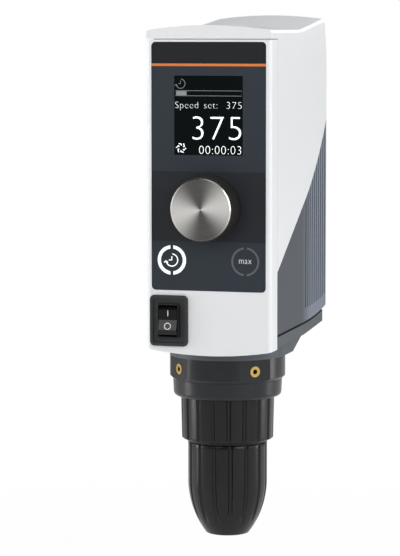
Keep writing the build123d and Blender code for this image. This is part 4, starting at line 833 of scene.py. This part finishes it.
def make_sleeve_tree():
    """Turns a closed section about Z and cuts flutes whose depth fades towards the nose."""
    tree, given, result = geometry_tree("fluted_sleeve", [
        ("Segments", "NodeSocketInt", 720), ("Turning Radius", "NodeSocketFloat", 0.02),
        ("Flutes", "NodeSocketInt", 15), ("Depth", "NodeSocketFloat", 0.001),
        ("Half Width", "NodeSocketFloat", 0.001), ("Phase", "NodeSocketFloat", 0.0),
        ("Fade Low", "NodeSocketFloat", 0.0), ("Fade High", "NodeSocketFloat", 0.01),
        ("Inner Radius", "NodeSocketFloat", 0.02), ("Material", "NodeSocketMaterial", None),
    ])
    circle = put(tree, "GeometryNodeCurvePrimitiveCircle")
    tree.links.new(given.outputs["Segments"], circle.inputs["Resolution"])
    tree.links.new(given.outputs["Turning Radius"], circle.inputs["Radius"])
    turned = put(tree, "GeometryNodeCurveToMesh")
    tree.links.new(circle.outputs["Curve"], turned.inputs["Curve"])
    tree.links.new(given.outputs["Geometry"], turned.inputs["Profile Curve"])
    place = put(tree, "GeometryNodeInputPosition")
    split = put(tree, "ShaderNodeSeparateXYZ")
    tree.links.new(place.outputs[0], split.inputs[0])
    x, y, z = split.outputs
    radius = distance(tree, x, y)
    angle = calc(tree, "SUBTRACT", calc(tree, "ARCTAN2", y, x), given.outputs["Phase"])
    pitch = calc(tree, "DIVIDE", 2 * math.pi, given.outputs["Flutes"])
    half_pitch = calc(tree, "MULTIPLY", pitch, 0.5)
    offset = calc(tree, "WRAP", angle, half_pitch, calc(tree, "MULTIPLY", pitch, -0.5))
    arc = calc(tree, "MULTIPLY", offset, radius)
    across = calc(tree, "DIVIDE", arc, given.outputs["Half Width"])
    square = calc(tree, "MULTIPLY", across, across)
    hollow = calc(tree, "MAXIMUM", calc(tree, "SUBTRACT", 1.0, square), 0.0)
    fade = put(tree, "ShaderNodeMapRange", interpolation_type="SMOOTHSTEP")
    tree.links.new(z, fade.inputs["Value"])
    tree.links.new(given.outputs["Fade Low"], fade.inputs["From Min"])
    tree.links.new(given.outputs["Fade High"], fade.inputs["From Max"])
    outside = calc(tree, "GREATER_THAN", radius, given.outputs["Inner Radius"])
    full = calc(tree, "MULTIPLY", calc(tree, "POWER", hollow, 0.6), given.outputs["Depth"])
    kept = calc(tree, "MULTIPLY", fade.outputs["Result"], outside)
    cut = calc(tree, "MULTIPLY", full, kept)
    share = calc(tree, "DIVIDE", calc(tree, "SUBTRACT", radius, cut), radius)
    moved = put(tree, "ShaderNodeCombineXYZ")
    tree.links.new(calc(tree, "MULTIPLY", x, share), moved.inputs[0])
    tree.links.new(calc(tree, "MULTIPLY", y, share), moved.inputs[1])
    tree.links.new(z, moved.inputs[2])
    shape = put(tree, "GeometryNodeSetPosition")
    tree.links.new(turned.outputs["Mesh"], shape.inputs["Geometry"])
    tree.links.new(moved.outputs[0], shape.inputs["Position"])
    real = put(tree, "GeometryNodeRealizeInstances")
    tree.links.new(shape.outputs["Geometry"], real.inputs["Geometry"])
    paint = put(tree, "GeometryNodeSetMaterial")
    tree.links.new(real.outputs["Geometry"], paint.inputs["Geometry"])
    tree.links.new(given.outputs["Material"], paint.inputs["Material"])
    tree.links.new(paint.outputs["Geometry"], result.inputs["Geometry"])
    return tree


def socket_ids(tree):
    """Identifiers of a tree's inputs by their names."""
    return {item.name: item.identifier for item in tree.interface.items_tree
            if item.item_type == "SOCKET" and item.in_out == "INPUT"}


def run_tree(name, data, tree, values):
    """Object whose geometry the tree makes, baked to a plain mesh."""
    carrier = link_object(name + "_carrier", data)
    modifier = carrier.modifiers.new("nodes", "NODES")
    modifier.node_group = tree
    ids = socket_ids(tree)
    for key, value in values.items():
        modifier[ids[key]] = value
    return bake(carrier, name)


def section_curve(name, section, turning_radius):
    """Closed poly curve of a section given as (radius, height) in metres."""
    curve = bpy.data.curves.new(name, "CURVE")
    curve.dimensions = "3D"
    line = curve.splines.new("POLY")
    line.points.add(len(section) - 1)
    for point, (radius, height) in zip(line.points, section):
        point.co = (radius - turning_radius, -height, 0, 1)
    line.use_cyclic_u = True
    return curve


def arc_section(start, end, steps):
    """Points of an arc that leaves start straight down, without its first point."""
    run, drop = start[0] - end[0], start[1] - end[1]
    radius = (run * run + drop * drop) / (2 * run)
    sweep = math.asin(drop / radius)
    turns = [sweep * step / steps for step in range(1, steps + 1)]
    return [
        (start[0] - radius * (1 - math.cos(turn)), start[1] - radius * math.sin(turn))
        for turn in turns
    ]


def straight(start, end, steps):
    """Points of a straight run, without its first point."""
    run, rise = end[0] - start[0], end[1] - start[1]
    return [
        (start[0] + run * step / steps, start[1] + rise * step / steps)
        for step in range(1, steps + 1)
    ]


def front_sleeve_section():
    """Section of the front sleeve: down its outside, round the nose and up its inside."""
    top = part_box("front_sleeve")[1]
    outer, top_z = top.x, top.z
    edge = 0.0005
    arc_start = (outer, 0.037)
    nose_r = 0.0147
    mouth_r, hole_r = 0.0124, 0.0114
    throat = (0.0126, 0.006)
    cone_r, shelf_r, bore_r = 0.0178, 0.0235, 0.0248
    cone_z, shelf_z = 0.027, 0.0335
    corner = 0.3 * edge
    section = [(outer - edge, top_z), (outer - corner, top_z - corner), (outer, top_z - edge)]
    section += straight(section[-1], arc_start, 12)
    section += arc_section(arc_start, (nose_r + 0.0006, 0.0011), 40)
    section += [(nose_r + 0.0001, 0.0004), (nose_r - 0.0008, 0.0), (mouth_r, 0.0), (hole_r, 0.0006)]
    section += [throat, (cone_r, cone_z), (shelf_r, cone_z), (shelf_r, shelf_z)]
    return section + [(bore_r, shelf_z), (bore_r, top_z)]


def rear_sleeve_section():
    """Section of the rear sleeve: down its outside and up its inside."""
    low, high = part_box("rear_sleeve")
    top_r, rim_r, foot_r, edge_r = 0.0318, 0.032, 0.0313, 0.0309
    lip_r, lip_z = 0.0276, low.z + 0.002
    bore_r, step_r, step_z = 0.0245, 0.028, 0.068
    section = [(top_r, high.z), (rim_r, high.z - 0.0004)]
    section += straight(section[-1], (foot_r, low.z + 0.0026), 30)
    section += [(edge_r, lip_z), (lip_r, lip_z), (lip_r, low.z), (bore_r, low.z)]
    return section + [(bore_r, step_z), (step_r, step_z), (step_r, high.z)]


class STIRRER_OT_sleeves(bpy.types.Operator):
    """Turned and fluted sleeves of the keyless chuck"""

    bl_idname = "stirrer.sleeves"
    bl_label = "Chuck sleeves"

    def execute(self, context):
        props = context.scene.stirrer_sleeves
        tree = make_sleeve_tree()
        black = surface(
            "chuck_satin", tone(8, 8, 9), tone(14, 14, 16), 0.22,
            specular=0.36, scale=3500.0, spread=0.05, bump=0.06,
        )
        dress(["chuck_body"], black)
        # Inner Radius 0 lets the front flutes run on over the nose, where the sleeve narrows
        jobs = [
            ("fluted_front_sleeve", "front_sleeve", "sleeve", front_sleeve_section(),
             props.front_count, props.phase + math.radians(3), 0.006, 0.02, 0.0),
            ("fluted_rear_sleeve", "rear_sleeve", "spindle", rear_sleeve_section(),
             props.rear_count, props.phase, 0.0, 0.001, 0.0292),
        ]
        for name, node, body, section, count, phase, fade_low, fade_high, inner in jobs:
            piece = run_tree(name, section_curve(name, section, TURNING_RADIUS), tree, {
                "Segments": props.segments, "Turning Radius": TURNING_RADIUS, "Flutes": count,
                "Depth": props.depth, "Half Width": props.width, "Phase": phase,
                "Fade Low": fade_low, "Fade High": fade_high, "Inner Radius": inner,
                "Material": black,
            })
            piece.data.shade_smooth()
            seat(piece, body)
            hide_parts(node)
        return {"FINISHED"}


# Camera, lamps and floor


def seen_directly(tree, seen):
    """1 where a ray comes from the camera, also through glass."""
    rays = seen.outputs["Is Camera Ray"], seen.outputs["Is Transmission Ray"]
    return calc(tree, "MAXIMUM", *rays)


class STIRRER_OT_stage(bpy.types.Operator):
    """Camera at the viewing angle of the photograph, soft lamps and a pale floor"""

    bl_idname = "stirrer.stage"
    bl_label = "Stage"

    def execute(self, context):
        props = context.scene.stirrer_stage
        scene = context.scene
        camera = bpy.data.cameras.new("camera")
        camera.sensor_fit = "VERTICAL"
        camera.sensor_height = 24.0
        camera.lens = props.focal_pixels * camera.sensor_height / PICTURE_HEIGHT
        camera.shift_x = props.shift_right / PICTURE_HEIGHT
        camera.shift_y = props.shift_up / PICTURE_HEIGHT
        camera.clip_end = 20
        viewer = link_object("camera", camera)
        ahead = Vector((
            -math.sin(props.camera_yaw) * math.cos(props.camera_pitch),
            math.cos(props.camera_yaw) * math.cos(props.camera_pitch),
            math.sin(props.camera_pitch),
        ))
        viewer.rotation_euler = ahead.to_track_quat("-Z", "Y").to_euler()
        viewer.location = props.camera_place
        scene.camera = viewer
        scene.view_settings.view_transform = "Standard"

        world = bpy.data.worlds.new("studio")
        world.use_nodes = True
        tree = world.node_tree
        tree.nodes.clear()
        seen = put(tree, "ShaderNodeLightPath")
        direct = seen_directly(tree, seen)
        place = put(tree, "ShaderNodeTexCoord")
        split = put(tree, "ShaderNodeSeparateXYZ")
        tree.links.new(place.outputs["Generated"], split.inputs[0])
        side = calc(tree, "ABSOLUTE", split.outputs["X"])
        ring = put(tree, "ShaderNodeMapRange")
        tree.links.new(side, ring.inputs["Value"])
        ring.inputs["From Min"].default_value = 0.55
        ring.inputs["From Max"].default_value = 0.95
        ring.inputs["To Min"].default_value = 0.1
        ring.inputs["To Max"].default_value = 1.0
        level = calc(tree, "MULTIPLY", ring.outputs["Result"], 1.25 * props.lamp_level)
        strength = put(tree, "ShaderNodeMix", data_type="FLOAT")
        join(tree, direct, strength.inputs[0])
        join(tree, level, strength.inputs[2])
        join(tree, 1.0, strength.inputs[3])
        back = put(tree, "ShaderNodeBackground")
        back.inputs["Color"].default_value = (1, 1, 1, 1)
        tree.links.new(strength.outputs[0], back.inputs["Strength"])
        output = put(tree, "ShaderNodeOutputWorld")
        tree.links.new(back.outputs[0], output.inputs[0])
        scene.world = world

        # Name, place, aim, width, height and power of each lamp
        lamps = [
            ("key_softbox", (1.1, -0.75, 0.75), (0.02, 0.05, 0.2), 0.9, 1.2, 8.8),
            ("front_softbox", (-0.35, -1.7, 1.0), (0.0, 0.0, 0.22), 1.0, 1.0, 8.0),
            ("left_strip", (-1.0, -0.25, 0.25), (0.0, 0.0, 0.12), 0.25, 1.1, 6.0),
            ("right_strip", (1.0, 0.45, 0.1), (0.0, 0.0, 0.07), 0.2, 0.6, 2.0),
            ("back_softbox", (0.4, 1.6, 0.9), (0.0, 0.08, 0.22), 1.0, 1.0, 7.0),
            ("top_softbox", (0.1, 0.1, 1.5), (0.0, 0.05, 0.3), 0.9, 0.9, 6.0),
        ]
        for name, place_at, aim, width, height, watts in lamps:
            light = bpy.data.lights.new(name, "AREA")
            light.shape = "RECTANGLE"
            light.size, light.size_y = width, height
            light.energy = watts * props.lamp_level
            lamp = link_object(name, light)
            lamp.location = place_at
            ray = Vector(aim) - Vector(place_at)
            lamp.rotation_euler = ray.to_track_quat("-Z", "Y").to_euler()

        material = bpy.data.materials.new("pale_floor")
        material.use_nodes = True
        tree = material.node_tree
        tree.nodes.clear()
        grain = use_group(tree, "handling", Scale=1.5, Amount=0.4)
        matte = put(tree, "ShaderNodeBsdfDiffuse")
        pale = blend_colors(tree, grain.outputs["Mask"], tone(240, 240, 240), tone(236, 236, 237))
        tree.links.new(pale, matte.inputs["Color"])
        glow = put(tree, "ShaderNodeEmission")
        glow.inputs["Strength"].default_value = 1.0
        seen = put(tree, "ShaderNodeLightPath")
        place = put(tree, "ShaderNodeTexCoord")
        reach = put(tree, "ShaderNodeVectorMath", operation="LENGTH")
        tree.links.new(place.outputs["Object"], reach.inputs[0])
        fade = put(tree, "ShaderNodeMapRange")
        tree.links.new(reach.outputs["Value"], fade.inputs["Value"])
        fade.inputs["From Min"].default_value = 0.15
        fade.inputs["From Max"].default_value = 0.8
        fade.inputs["To Min"].default_value = 0.9
        mirrored = calc(tree, "MULTIPLY", seen.outputs["Is Glossy Ray"], 0.25)
        seen_white = calc(tree, "MAXIMUM", seen_directly(tree, seen), mirrored)
        part = calc(tree, "MULTIPLY", seen_white, fade.outputs["Result"])
        mix = put(tree, "ShaderNodeMixShader")
        tree.links.new(part, mix.inputs[0])
        tree.links.new(matte.outputs[0], mix.inputs[1])
        tree.links.new(glow.outputs[0], mix.inputs[2])
        output = put(tree, "ShaderNodeOutputMaterial")
        tree.links.new(mix.outputs[0], output.inputs["Surface"])
        reach, height = 6.0, props.floor_height
        corners = [(-reach, -reach, height), (reach, -reach, height), (reach, reach, height),
                   (-reach, reach, height)]
        floor = mesh_piece("floor", corners, [(0, 1, 2, 3)], material)
        return {"FINISHED"}


class STIRRER_PT_panel(bpy.types.Panel):
    """Steps that dress the stirrer"""

    bl_label = "Overhead Stirrer"
    bl_idname = "STIRRER_PT_panel"
    bl_space_type = "VIEW_3D"
    bl_region_type = "UI"
    bl_category = "Stirrer"

    def draw(self, context):
        for step in STEPS:
            self.layout.operator(step.bl_idname)


SETTINGS = {
    "stirrer_shells": ShellSettings,
    "stirrer_panel": PanelSettings,
    "stirrer_display": DisplaySettings,
    "stirrer_knob": KnobSettings,
    "stirrer_switch": SwitchSettings,
    "stirrer_sleeves": SleeveSettings,
    "stirrer_stage": StageSettings,
}
STEPS = (
    STIRRER_OT_stage,
    STIRRER_OT_shells,
    STIRRER_OT_castings,
    STIRRER_OT_inner_parts,
    STIRRER_OT_inlet,
    STIRRER_OT_panel,
    STIRRER_OT_display_marks,
    STIRRER_OT_key_signs,
    STIRRER_OT_knob,
    STIRRER_OT_switch,
    STIRRER_OT_sleeves,
)


def register():
    """Register the settings, the steps and the sidebar panel."""
    for kind in (*SETTINGS.values(), *STEPS, STIRRER_PT_panel):
        bpy.utils.register_class(kind)
    for name, kind in SETTINGS.items():
        setattr(bpy.types.Scene, name, PointerProperty(type=kind))


def unregister():
    """Take out what register put in."""
    for name in SETTINGS:
        delattr(bpy.types.Scene, name)
    for kind in reversed((*SETTINGS.values(), *STEPS, STIRRER_PT_panel)):
        bpy.utils.unregister_class(kind)


def main():
    """Build all the looks."""
    register()
    make_grain_group()
    make_handling_group()
    for step in STEPS:
        family, name = step.bl_idname.split(".")
        getattr(getattr(bpy.ops, family), name)()


if __name__ == "__main__":
    main()
